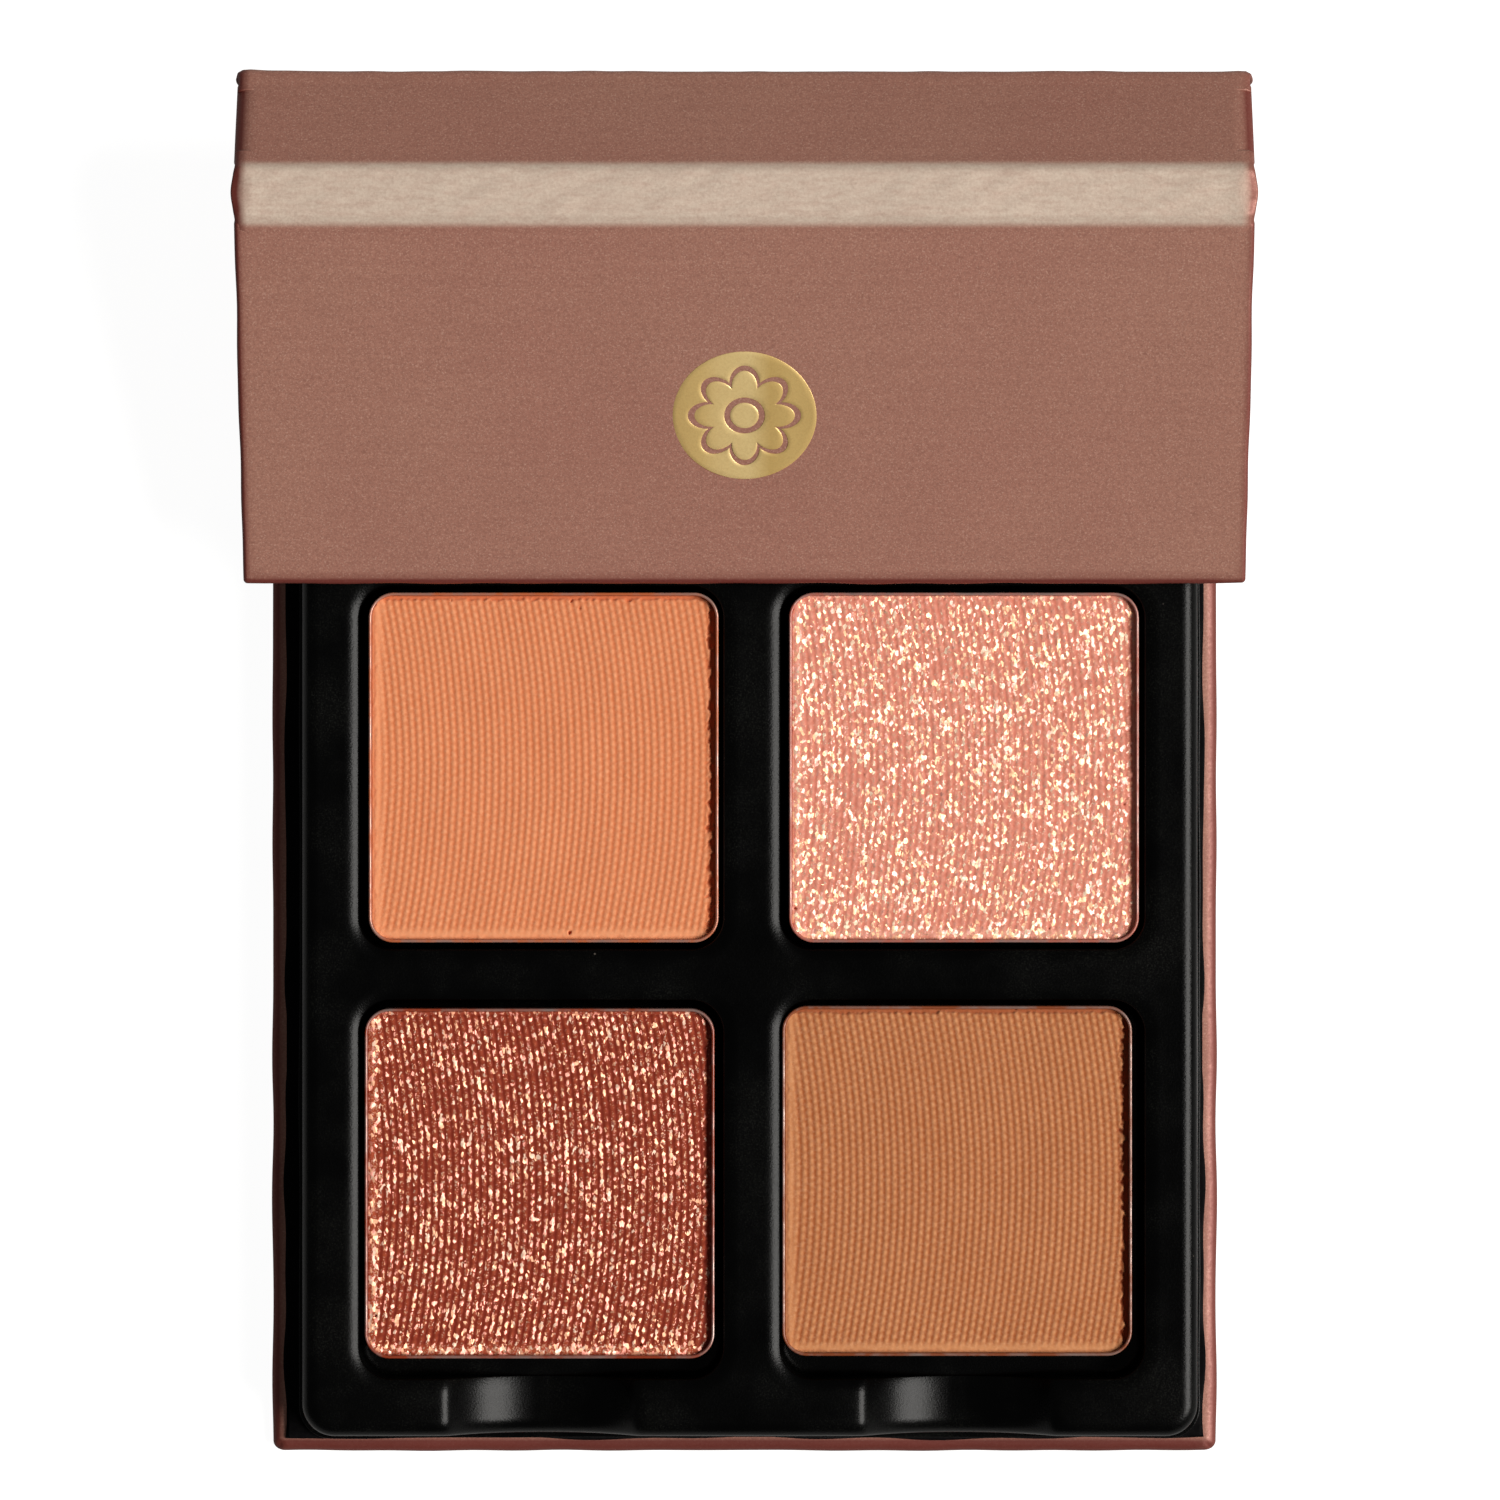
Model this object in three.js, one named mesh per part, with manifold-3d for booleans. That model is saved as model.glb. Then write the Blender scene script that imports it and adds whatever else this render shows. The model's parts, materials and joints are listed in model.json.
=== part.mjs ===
// Four-pan eyeshadow palette: a flat wrapped base with a moulded tray, and a book-style lid whose
// rear, fold and front panels are folded back over each other behind the tray.
// Millimetres, +Z up. Origin: on the base's underside, below the middle of the tray's depth. -Y is
// the side the lid opens from, +Y the hinge side, +X to the right.
import * as THREE from "three";
import { mergeVertices } from "three/addons/utils/BufferGeometryUtils.js";
import Module from "manifold-3d";

const wasm = await Module();
wasm.setup();

// ---- Driving dimensions -------------------------------------------------------------------------

// Cover: boards wrapped in paper, with a lining sheet on the inner face.
const BASE_WIDTH = 71;
const BASE_FRONT_Y = -35.25;
const BASE_REAR_Y = 34.3;
const BASE_THICKNESS = 1.85;
const LID_WIDTH = 74.2;
const PANEL_THICKNESS = 1.6;
const PAPER = 0.25;
const TURN_IN_PAPER = 0.2;
const LINER_PAPER = 0.2;
const TURN_IN = 5;
const LINER_MARGIN = 1;
const LAYER_GAP = 0.05;
const COVER_CORNER = 0.7;
const WRAPPED_EDGE = 0.3;

// Lengths along the cover's outer face. The spine bends where it meets the base and the rear panel.
const SPINE_CREASE_Y = 36.4;
const SPINE_LENGTH = 10.7;
const REAR_LENGTH = 30.2;
const FOLD_LENGTH = 9.2;
const FRONT_LENGTH = 29;

// Creases: bare wrap between two boards. The two lid folds have a strip of it, bent along one line.
const STRIP_THICKNESS = 0.35;
const STRIP_END_GAP = 0.3;
const BEND_GAP = 0.1;
const PANEL_END_GAP = 0.5;
const SPINE_TOP_GAP = 1.9;
const REAR_START_GAP = 3.4;
const SPINE_BEND_GAP = 0.55;
const FOLD_STRIP_LENGTH = 3.3;
const REAR_FOLD_BEND = 1.65;
const FRONT_FOLD_BEND = 1.364;

// Direction of each panel in the YZ plane, in degrees from +Y towards +Z, with the lid folded back.
const SPINE_ANGLE = 90;
const REAR_ANGLE = 5.6;
const REAR_STRIP_ANGLE = 75.8;
const FOLD_ANGLE = 146;
const FRONT_STRIP_ANGLE = 180;
const FRONT_ANGLE = 203.2;

// Moulded tray: a thin shell, open underneath, with four pockets and two finger notches in front.
const TRAY_CENTRE_X = 0.4;
const TRAY_FLANGE_HALF_X = 33.8;
const TRAY_FLANGE_HALF_Y = 34.15;
const TRAY_WALL_HALF_X = 33.3;
const TRAY_WALL_HALF_Y = 33.6;
const TRAY_DRAFT = 0.15;
const TRAY_CORNER = 2.4;
const TRAY_TOP = 8.8;
const TRAY_EDGE_ROUND = 1.2;
const SHELL = 0.6;
const FLANGE_THICKNESS = 0.5;
const RIM_ROUND = 0.8;
const POCKET_FLOOR = 4.7;
const POCKET_FLOOR_ROUND = 0.5;
const POCKET_GAP = 0.53;
const FINGER_GAP = 1.65;
const NOTCH_CENTRES = [-15.05, 15.95];
const NOTCH_RADIUS = 8.5;
const NOTCH_DEPTH = 3.7;

// Pans: square pressed cups filled with powder. Rows and columns give the pocket centres.
const PAN_SIZE = 26;
const PAN_CORNER = 1.85;
const PAN_HEIGHT = 3.6;
const PAN_WALL = 0.35;
const PAN_RIM_BELOW_TRAY = 0.2;
const PAD_SIZE = 18;
const PAD_THICKNESS = 0.2;
const POWDER_BELOW_RIM = 0.35;
const POWDER_DOME = 0.2;
const POWDER_GAP = 0.05;
const COLUMNS = { left: -15.1, right: 16.2 };
const ROWS = { front: -14.65, rear: 16.15 };
// Where each pan was set down, off its pocket's centre.
const PAN_SET = {
  rear_left: [0.17, 0],
  rear_right: [0.1, 0],
  front_left: [-0.13, -0.11],
  front_right: [-0.41, 0.08],
};

// Closure magnets, under the tray's front corners and in the front panel.
const MAGNET_OUT = 27.4;
const MAGNET_LENGTH = 7;
const MAGNET_WIDTH = 2.4;
const TRAY_MAGNET_HEIGHT = 1.5;
const LID_MAGNET_HEIGHT = 0.6;
const MAGNET_Y = -31.35;
const MAGNET_GAP = 0.1;

// Foil emblem on the front panel: an ellipse, centred this far from the crease at the ridge.
const EMBLEM_WIDTH = 10.6;
const EMBLEM_HEIGHT = 10;
const EMBLEM_THICKNESS = 0.15;
const EMBLEM_FROM_CREASE = 15.6;

// Smoothness.
const CORNER_STEPS = 2;
const ROUND_STEPS = 3;
const NOTCH_SIDES = 56;
const EMBLEM_STEPS = 24;

// ---- Materials ----------------------------------------------------------------------------------

const wrapPaper = new THREE.MeshStandardMaterial({ color: 0x9d6e5f, roughness: 0.5, metalness: 0.1 });
const greyBoard = new THREE.MeshStandardMaterial({ color: 0x8b8780, roughness: 0.95, metalness: 0 });
const blackPaper = new THREE.MeshStandardMaterial({ color: 0x0b0b0c, roughness: 0.7, metalness: 0 });
const trayPlastic = new THREE.MeshStandardMaterial({ color: 0x08090a, roughness: 0.55, metalness: 0 });
const panMetal = new THREE.MeshStandardMaterial({ color: 0xd9d5cf, roughness: 0.3, metalness: 1 });
const padFoam = new THREE.MeshStandardMaterial({ color: 0xe8e6df, roughness: 0.9, metalness: 0 });
const magnetMetal = new THREE.MeshStandardMaterial({ color: 0xa9abad, roughness: 0.35, metalness: 1 });
const goldFoil = new THREE.MeshStandardMaterial({ color: 0xc9a06a, roughness: 0.3, metalness: 0.9 });
const powderColours = {
  rear_left: 0xe19164,
  rear_right: 0xe18c6e,
  front_left: 0xa55037,
  front_right: 0xc38255,
};

// ---- Solids -------------------------------------------------------------------------------------

// A closed three.js geometry as a solid that can be cut and joined.
function solid(geometry) {
  const bare = geometry.index ? geometry.toNonIndexed() : geometry.clone();
  bare.deleteAttribute("normal");
  bare.deleteAttribute("uv");
  const merged = mergeVertices(bare, 1e-4);
  return new wasm.Manifold(
    new wasm.Mesh({
      numProp: 3,
      vertProperties: merged.attributes.position.array,
      triVerts: new Uint32Array(merged.index.array),
    }),
  );
}

// A solid back as a flat-shaded three.js geometry.
function geometryOf(body) {
  const { vertProperties, triVerts } = body.getMesh();
  const indexed = new THREE.BufferGeometry();
  indexed.setAttribute("position", new THREE.BufferAttribute(vertProperties, 3));
  indexed.setIndex(new THREE.BufferAttribute(triVerts, 1));
  const flat = indexed.toNonIndexed();
  flat.computeVertexNormals();
  return flat;
}

function meshOf(name, geometry, material) {
  const mesh = new THREE.Mesh(geometry, material);
  mesh.name = name;
  return mesh;
}

// Box given by its low and high corners.
function box([x0, y0, z0], [x1, y1, z1]) {
  const geometry = new THREE.BoxGeometry(x1 - x0, y1 - y0, z1 - z0);
  return geometry.translate((x0 + x1) / 2, (y0 + y1) / 2, (z0 + z1) / 2);
}

// Rectangle with rounded corners, centred on the origin, drawn anticlockwise.
function roundedRect(halfX, halfY, radius) {
  const x = halfX - radius;
  const y = halfY - radius;
  const quarter = Math.PI / 2;
  return new THREE.Shape()
    .absarc(x, y, radius, 0, quarter, false)
    .absarc(-x, y, radius, quarter, 2 * quarter, false)
    .absarc(-x, -y, radius, 2 * quarter, 3 * quarter, false)
    .absarc(x, -y, radius, 3 * quarter, 4 * quarter, false);
}

// Sheet with rounded corners and rounded edges, from z = 0 to its thickness, low corner to high.
function wrappedSlab([x0, y0], [x1, y1], thickness, edge) {
  const shape = roundedRect((x1 - x0) / 2, (y1 - y0) / 2, COVER_CORNER);
  const geometry = new THREE.ExtrudeGeometry(shape, {
    depth: thickness - 2 * edge,
    bevelThickness: edge,
    bevelSize: edge,
    bevelOffset: -edge,
    bevelSegments: 2,
    curveSegments: CORNER_STEPS,
  });
  return geometry.translate((x0 + x1) / 2, (y0 + y1) / 2, edge);
}

// Closed solid through rounded rectangles stacked upwards. A level is { z, halfX, halfY, radius }.
function loft(levels, centreX, centreY) {
  const rings = levels.map(({ z, halfX, halfY, radius }) => {
    const outline = roundedRect(halfX, halfY, radius).getPoints(CORNER_STEPS);
    if (outline[0].distanceTo(outline[outline.length - 1]) < 1e-6) outline.pop();
    return outline.map((p) => new THREE.Vector3(p.x + centreX, p.y + centreY, z));
  });
  const count = rings[0].length;
  const index = [];
  for (let level = 0; level + 1 < rings.length; level++) {
    for (let i = 0; i < count; i++) {
      const a = level * count + i;
      const b = level * count + ((i + 1) % count);
      index.push(a, b, b + count, a, b + count, a + count);
    }
  }
  const last = (rings.length - 1) * count;
  for (let i = 1; i + 1 < count; i++) {
    index.push(0, i + 1, i);
    index.push(last, last + i, last + i + 1);
  }
  const geometry = new THREE.BufferGeometry().setFromPoints(rings.flat());
  return geometry.setIndex(index);
}

// Levels of a quarter round that ends at height z: a top edge leans in, a rim or floor leans out.
function roundLevels(size, radius, z, curve) {
  const levels = [];
  for (let i = 0; i <= ROUND_STEPS; i++) {
    const turn = (i / ROUND_STEPS) * (Math.PI / 2);
    const rise = curve === "floor" ? radius * (1 - Math.cos(turn)) : radius * (Math.sin(turn) - 1);
    const shift = {
      top: radius * (Math.cos(turn) - 1),
      rim: radius * (1 - Math.cos(turn)),
      floor: radius * (Math.sin(turn) - 1),
    }[curve];
    levels.push({
      z: z + rise,
      halfX: size.halfX + shift,
      halfY: size.halfY + shift,
      radius: size.radius + shift,
    });
  }
  return levels;
}

// ---- Cover panels -------------------------------------------------------------------------------

// A panel in its own frame: x across, y along it from crease to crease, z inwards from its outer face.
function panelParts(name, span, width, thickness) {
  const half = width / 2;
  const [start, end] = span;
  const linerBottom = thickness - LINER_PAPER;
  const wrapTop = linerBottom - LAYER_GAP;
  const boardBottom = PAPER + LAYER_GAP;
  const boardTop = wrapTop - TURN_IN_PAPER - LAYER_GAP;
  const shell = solid(wrappedSlab([-half, start], [half, end], wrapTop, WRAPPED_EDGE))
    .subtract(
      solid(
        box(
          [-half + PAPER, start + PAPER, PAPER],
          [half - PAPER, end - PAPER, boardTop + LAYER_GAP],
        ),
      ),
    )
    .subtract(
      solid(
        box(
          [-half + TURN_IN, start + LINER_MARGIN, boardBottom],
          [half - TURN_IN, end - LINER_MARGIN, thickness],
        ),
      ),
    );
  const inset = PAPER + LAYER_GAP;
  const board = box(
    [-half + inset, start + inset, boardBottom],
    [half - inset, end - inset, boardTop],
  );
  const liner = box(
    [-half + LINER_MARGIN, start + LINER_MARGIN / 2, linerBottom],
    [half - LINER_MARGIN, end - LINER_MARGIN / 2, thickness],
  );
  return {
    wrap: meshOf(name + "_wrap", geometryOf(shell), wrapPaper),
    board: meshOf(name + "_board", board, greyBoard),
    liner: meshOf(name + "_liner", liner, blackPaper),
    boardBottom,
  };
}

// Bare wrap at a crease, in the frame of the panel or fold it runs along.
function addStrip(group, name, width, start, end) {
  const half = width / 2;
  const strip = box([-half, start, 0], [half, end, STRIP_THICKNESS]);
  group.add(meshOf(name, strip, wrapPaper));
}

// Places groups end to end along the folded profile, starting at the crease of base and spine.
class Profile {
  constructor(y, z) {
    this.y = y;
    this.z = z;
  }

  // A group whose y axis runs along the next panel, with its outer face at z = 0.
  next(length, degrees) {
    const turn = THREE.MathUtils.degToRad(degrees);
    const group = new THREE.Group();
    group.position.set(0, this.y, this.z);
    group.rotation.x = turn;
    this.y += length * Math.cos(turn);
    this.z += length * Math.sin(turn);
    return group;
  }
}

function addPanel(palette, profile, name, length, degrees, startGap, endGap) {
  const group = profile.next(length, degrees);
  const parts = panelParts(name, [startGap, length - endGap], LID_WIDTH, PANEL_THICKNESS);
  group.add(parts.wrap, parts.board, parts.liner);
  palette.add(group);
  return { group, parts };
}

// The bare paper of a lid fold, in two strips that meet at its bend line.
function addFold(palette, profile, names, bend, degrees) {
  const group = profile.next(FOLD_STRIP_LENGTH, degrees);
  addStrip(group, names[0], LID_WIDTH, STRIP_END_GAP, bend - BEND_GAP);
  addStrip(group, names[1], LID_WIDTH, bend + BEND_GAP, FOLD_STRIP_LENGTH - STRIP_END_GAP);
  palette.add(group);
}

// The front panel carries the emblem on its outer face and two magnets let into its board.
function finishFrontPanel({ group, parts }) {
  const magnetFromCrease = FRONT_LENGTH - (MAGNET_Y - closedFreeEdgeY());
  let board = solid(parts.board.geometry);
  const magnetBottom = parts.boardBottom + LAYER_GAP;
  for (const [side, sign] of Object.entries({ left: -1, right: 1 })) {
    const x = TRAY_CENTRE_X + sign * MAGNET_OUT;
    const low = [x - MAGNET_LENGTH / 2, magnetFromCrease - MAGNET_WIDTH / 2, magnetBottom];
    const high = [low[0] + MAGNET_LENGTH, low[1] + MAGNET_WIDTH, magnetBottom + LID_MAGNET_HEIGHT];
    const pocketLow = [low[0] - MAGNET_GAP, low[1] - MAGNET_GAP, 0];
    const pocketHigh = [high[0] + MAGNET_GAP, high[1] + MAGNET_GAP, PANEL_THICKNESS];
    board = board.subtract(solid(box(pocketLow, pocketHigh)));
    group.add(meshOf("lid_magnet_" + side, box(low, high), magnetMetal));
  }
  parts.board.geometry = geometryOf(board);

  const outline = new THREE.Shape().absellipse(
    0, 0, EMBLEM_WIDTH / 2, EMBLEM_HEIGHT / 2, 0, 2 * Math.PI, false, 0,
  );
  const emblem = new THREE.ExtrudeGeometry(outline, {
    depth: EMBLEM_THICKNESS,
    bevelEnabled: false,
    curveSegments: EMBLEM_STEPS,
  });
  emblem.translate(0, EMBLEM_FROM_CREASE, -EMBLEM_THICKNESS - LAYER_GAP);
  group.add(meshOf("foil_emblem", emblem, goldFoil));
}

// Length a bent fold takes up once the two panels beside it lie in one plane.
function flattenedFold(bend, stripAngle, angleBefore, angleAfter) {
  const before = THREE.MathUtils.degToRad(stripAngle - angleBefore);
  const after = THREE.MathUtils.degToRad(angleAfter - stripAngle);
  return bend * Math.cos(before) + (FOLD_STRIP_LENGTH - bend) * Math.cos(after);
}

// Where the front panel's free edge comes down when the lid is closed.
function closedFreeEdgeY() {
  const rearFold = flattenedFold(REAR_FOLD_BEND, REAR_STRIP_ANGLE, REAR_ANGLE, FOLD_ANGLE);
  const frontFold = flattenedFold(FRONT_FOLD_BEND, FRONT_STRIP_ANGLE, FOLD_ANGLE, FRONT_ANGLE);
  return SPINE_CREASE_Y - REAR_LENGTH - rearFold - FOLD_LENGTH - frontFold - FRONT_LENGTH;
}

// ---- Tray, pans and powder ----------------------------------------------------------------------

function traySolid() {
  const top = { halfX: TRAY_WALL_HALF_X, halfY: TRAY_WALL_HALF_Y, radius: TRAY_CORNER };
  const foot = { halfX: top.halfX + TRAY_DRAFT, halfY: top.halfY + TRAY_DRAFT, radius: TRAY_CORNER };
  const flange = { halfX: TRAY_FLANGE_HALF_X, halfY: TRAY_FLANGE_HALF_Y, radius: TRAY_CORNER };
  const bottom = BASE_THICKNESS + LAYER_GAP;
  const flangeTop = bottom + FLANGE_THICKNESS;
  const outer = loft(
    [
      { z: bottom, ...flange },
      { z: flangeTop, ...flange },
      { z: flangeTop, ...foot },
      ...roundLevels(top, TRAY_EDGE_ROUND, TRAY_TOP, "top"),
    ],
    TRAY_CENTRE_X,
    0,
  );
  const inner = loft(
    [
      { z: bottom - 1, ...shrink(foot, SHELL) },
      { z: flangeTop, ...shrink(foot, SHELL) },
      ...roundLevels(shrink(top, SHELL), TRAY_EDGE_ROUND - SHELL, TRAY_TOP - SHELL, "top"),
    ],
    TRAY_CENTRE_X,
    0,
  );
  let tray = solid(outer);
  let hollow = solid(inner);
  for (const [row, y] of Object.entries(ROWS)) {
    const frontGap = row === "front" ? FINGER_GAP : POCKET_GAP;
    for (const x of Object.values(COLUMNS)) {
      tray = tray.subtract(pocketSolid(x, y, frontGap, 0));
      hollow = hollow.subtract(pocketSolid(x, y, frontGap, SHELL));
    }
  }
  for (const x of NOTCH_CENTRES) {
    tray = tray.subtract(notchSolid(x, 0));
    hollow = hollow.subtract(notchSolid(x, SHELL));
  }
  return tray.subtract(hollow);
}

function shrink({ halfX, halfY, radius }, by) {
  return { halfX: halfX - by, halfY: halfY - by, radius: radius - by };
}

// A pocket for one pan, grown by the shell's thickness when it shapes the tray's underside.
// The front row's pockets are wider in front of the pan, where a fingertip goes in.
function pocketSolid(x, y, frontGap, grow) {
  const halfPan = PAN_SIZE / 2;
  const size = {
    halfX: halfPan + POCKET_GAP + grow,
    halfY: halfPan + (POCKET_GAP + frontGap) / 2 + grow,
    radius: PAN_CORNER + POCKET_GAP + grow,
  };
  const top = TRAY_TOP - grow;
  const rims = roundLevels(size, Math.max(RIM_ROUND - grow, 0.1), top, "rim");
  const floors = roundLevels(size, POCKET_FLOOR_ROUND + grow, POCKET_FLOOR - grow, "floor");
  const above = { ...rims[rims.length - 1], z: top + 1 };
  return solid(loft([...floors, ...rims, above], x, y - (frontGap - POCKET_GAP) / 2));
}

// A round-bottomed finger notch through the tray's front margin, in front of a pan.
function notchSolid(x, grow) {
  const pocketFront = ROWS.front - PAN_SIZE / 2 - FINGER_GAP;
  const back = pocketFront + RIM_ROUND;
  const front = -TRAY_FLANGE_HALF_Y - 1;
  const cutter = new THREE.CylinderGeometry(
    NOTCH_RADIUS + grow,
    NOTCH_RADIUS + grow,
    back - front,
    NOTCH_SIDES,
  );
  cutter.translate(x, (back + front) / 2, TRAY_TOP - NOTCH_DEPTH + NOTCH_RADIUS);
  return solid(cutter);
}

function panPlace(row, column) {
  const [shiftX, shiftY] = PAN_SET[row + "_" + column];
  return [COLUMNS[column] + shiftX, ROWS[row] + shiftY];
}

function panSquare(inset) {
  return { halfX: PAN_SIZE / 2 - inset, halfY: PAN_SIZE / 2 - inset, radius: PAN_CORNER - inset };
}

function panGeometry(x, y) {
  const rim = TRAY_TOP - PAN_RIM_BELOW_TRAY;
  const outer = loft(
    [
      ...roundLevels(panSquare(0), POCKET_FLOOR_ROUND, rim - PAN_HEIGHT, "floor"),
      { z: rim, ...panSquare(0) },
    ],
    x,
    y,
  );
  const inner = loft(
    [
      { z: rim - PAN_HEIGHT + PAN_WALL, ...panSquare(PAN_WALL + POCKET_FLOOR_ROUND / 2) },
      { z: rim - PAN_HEIGHT + PAN_WALL + POCKET_FLOOR_ROUND, ...panSquare(PAN_WALL) },
      { z: rim + 1, ...panSquare(PAN_WALL) },
    ],
    x,
    y,
  );
  return geometryOf(solid(outer).subtract(solid(inner)));
}

// The pressed powder, slightly domed, a little below the pan's rim.
function powderGeometry(x, y) {
  const rim = TRAY_TOP - PAN_RIM_BELOW_TRAY;
  const floor = rim - PAN_HEIGHT + PAN_WALL + POWDER_GAP;
  const surface = rim - POWDER_BELOW_RIM;
  const side = PAN_WALL + POWDER_GAP;
  return loft(
    [
      { z: floor, ...panSquare(side + POCKET_FLOOR_ROUND / 2) },
      { z: floor + POCKET_FLOOR_ROUND, ...panSquare(side) },
      { z: surface - POWDER_DOME, ...panSquare(side) },
      { z: surface, ...panSquare(side + POWDER_DOME * 2) },
    ],
    x,
    y,
  );
}

function padGeometry(x, y) {
  const half = PAD_SIZE / 2;
  const low = POCKET_FLOOR + LAYER_GAP;
  return box([x - half, y - half, low], [x + half, y + half, low + PAD_THICKNESS]);
}

function trayMagnet(side, sign) {
  const x = TRAY_CENTRE_X + sign * MAGNET_OUT;
  const high = TRAY_TOP - SHELL - MAGNET_GAP;
  const shape = box(
    [x - MAGNET_LENGTH / 2, MAGNET_Y - MAGNET_WIDTH / 2, high - TRAY_MAGNET_HEIGHT],
    [x + MAGNET_LENGTH / 2, MAGNET_Y + MAGNET_WIDTH / 2, high],
  );
  return meshOf("tray_magnet_" + side, shape, magnetMetal);
}

// ---- Assembly -----------------------------------------------------------------------------------

const palette = new THREE.Group();
palette.name = "eyeshadow_palette";

const base = panelParts("base", [BASE_FRONT_Y, BASE_REAR_Y], BASE_WIDTH, BASE_THICKNESS);
palette.add(base.wrap, base.board, base.liner);
const creaseStart = BASE_REAR_Y + STRIP_END_GAP;
const creaseEnd = SPINE_CREASE_Y - STRIP_END_GAP;
addStrip(palette, "base_crease_strip", BASE_WIDTH, creaseStart, creaseEnd);

palette.add(meshOf("tray", geometryOf(traySolid()), trayPlastic));
for (const row of Object.keys(ROWS)) {
  for (const column of Object.keys(COLUMNS)) {
    const place = row + "_" + column;
    const [x, y] = panPlace(row, column);
    const color = powderColours[place];
    const powder = new THREE.MeshStandardMaterial({ color, roughness: 0.85, metalness: 0 });
    palette.add(meshOf("pan_" + place, panGeometry(x, y), panMetal));
    palette.add(meshOf("powder_" + place, powderGeometry(x, y), powder));
    palette.add(meshOf("pan_pad_" + place, padGeometry(x, y), padFoam));
  }
}
palette.add(trayMagnet("left", -1), trayMagnet("right", 1));

const profile = new Profile(SPINE_CREASE_Y, 0);
const spine = addPanel(
  palette, profile, "spine", SPINE_LENGTH, SPINE_ANGLE, PANEL_END_GAP, SPINE_TOP_GAP,
);
const spineStripStart = SPINE_LENGTH - SPINE_TOP_GAP + STRIP_END_GAP;
addStrip(
  spine.group, "spine_crease_strip", LID_WIDTH, spineStripStart, SPINE_LENGTH - SPINE_BEND_GAP,
);
const rear = addPanel(
  palette, profile, "rear_panel", REAR_LENGTH, REAR_ANGLE, REAR_START_GAP, PANEL_END_GAP,
);
addStrip(
  rear.group, "rear_crease_strip", LID_WIDTH, SPINE_BEND_GAP, REAR_START_GAP - STRIP_END_GAP,
);
const rearFoldNames = ["rear_fold_strip_lower", "rear_fold_strip_upper"];
addFold(palette, profile, rearFoldNames, REAR_FOLD_BEND, REAR_STRIP_ANGLE);
addPanel(palette, profile, "fold_panel", FOLD_LENGTH, FOLD_ANGLE, PANEL_END_GAP, PANEL_END_GAP);
const frontFoldNames = ["front_fold_strip_rear", "front_fold_strip_front"];
addFold(palette, profile, frontFoldNames, FRONT_FOLD_BEND, FRONT_STRIP_ANGLE);
finishFrontPanel(
  addPanel(palette, profile, "front_panel", FRONT_LENGTH, FRONT_ANGLE, PANEL_END_GAP, 0),
);

export default palette;
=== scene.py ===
"""Looks of the four-pan eyeshadow palette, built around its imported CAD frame.

Lengths in this script are millimetres; mesh_object() turns them into metres.
"""

import json
import math

import bmesh
import bpy
import numpy as np
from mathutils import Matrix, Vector
from mathutils.geometry import delaunay_2d_cdt


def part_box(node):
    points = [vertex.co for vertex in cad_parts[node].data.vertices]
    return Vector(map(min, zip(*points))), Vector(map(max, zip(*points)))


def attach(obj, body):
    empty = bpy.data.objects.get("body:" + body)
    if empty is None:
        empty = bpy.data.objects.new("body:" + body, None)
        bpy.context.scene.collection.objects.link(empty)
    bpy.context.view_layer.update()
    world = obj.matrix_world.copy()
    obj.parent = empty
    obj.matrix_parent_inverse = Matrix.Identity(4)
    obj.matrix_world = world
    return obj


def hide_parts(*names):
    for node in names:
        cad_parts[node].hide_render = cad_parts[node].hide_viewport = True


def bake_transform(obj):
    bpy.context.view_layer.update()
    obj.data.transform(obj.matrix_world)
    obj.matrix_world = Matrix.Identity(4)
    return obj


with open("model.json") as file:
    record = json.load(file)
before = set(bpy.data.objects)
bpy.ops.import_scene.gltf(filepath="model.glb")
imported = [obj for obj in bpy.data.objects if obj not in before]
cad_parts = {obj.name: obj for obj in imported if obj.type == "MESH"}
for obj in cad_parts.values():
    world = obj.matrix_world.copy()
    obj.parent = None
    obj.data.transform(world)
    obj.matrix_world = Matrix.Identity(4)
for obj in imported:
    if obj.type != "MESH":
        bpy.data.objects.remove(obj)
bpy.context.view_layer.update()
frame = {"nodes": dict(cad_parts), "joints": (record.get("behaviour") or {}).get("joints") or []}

# ---- Dimensions ---------------------------------------------------------------------------------

MM = 0.001

# Cover panels: directions in the YZ plane in degrees from +Y towards +Z, lengths and thicknesses.
SPINE_ANGLE = 90
REAR_ANGLE = 5.6
REAR_STRIP_ANGLE = 75.8
FOLD_ANGLE = 146
RIDGE_ANGLE = 180
FRONT_ANGLE = 203.2
SPINE_LENGTH = 10.7
REAR_LENGTH = 30.2
FOLD_LENGTH = 9.2
FRONT_LENGTH = 29
STRIP_LENGTH = 3.3
PANEL_END_GAP = 0.5
SPINE_TOP_GAP = 1.9
REAR_START_GAP = 3.4
PANEL_THICKNESS = 1.6
BASE_THICKNESS = 1.85
LINING = 0.2
LINING_GAP = 0.05
LINING_BED = 0.02
BASE_HALF_WIDTH = 35.5
LID_HALF_WIDTH = 37.1

# Paper on the panels: radii of the rounded ends and sides, the lining's inset from bare edges and
# from creases, the depth of the tucked corners, the widest rounding that counts as a worn edge with
# painted shade, and the distance over which that wear and painted shade fade.
COVER_EDGE = 0.32
SOFT_EDGE = 0.62
BASE_EDGE = 0.72
SIDE_EDGE = {"base": 0.9, "fold_panel": 1.5}
LINING_MARGIN = 1.0
CREASE_MARGIN = 0.5
MITRE_DEPTH = 0.2
WORN_SHADED_EDGE = 0.9
WEAR_AND_SHADE_REACH = 0.35
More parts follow.
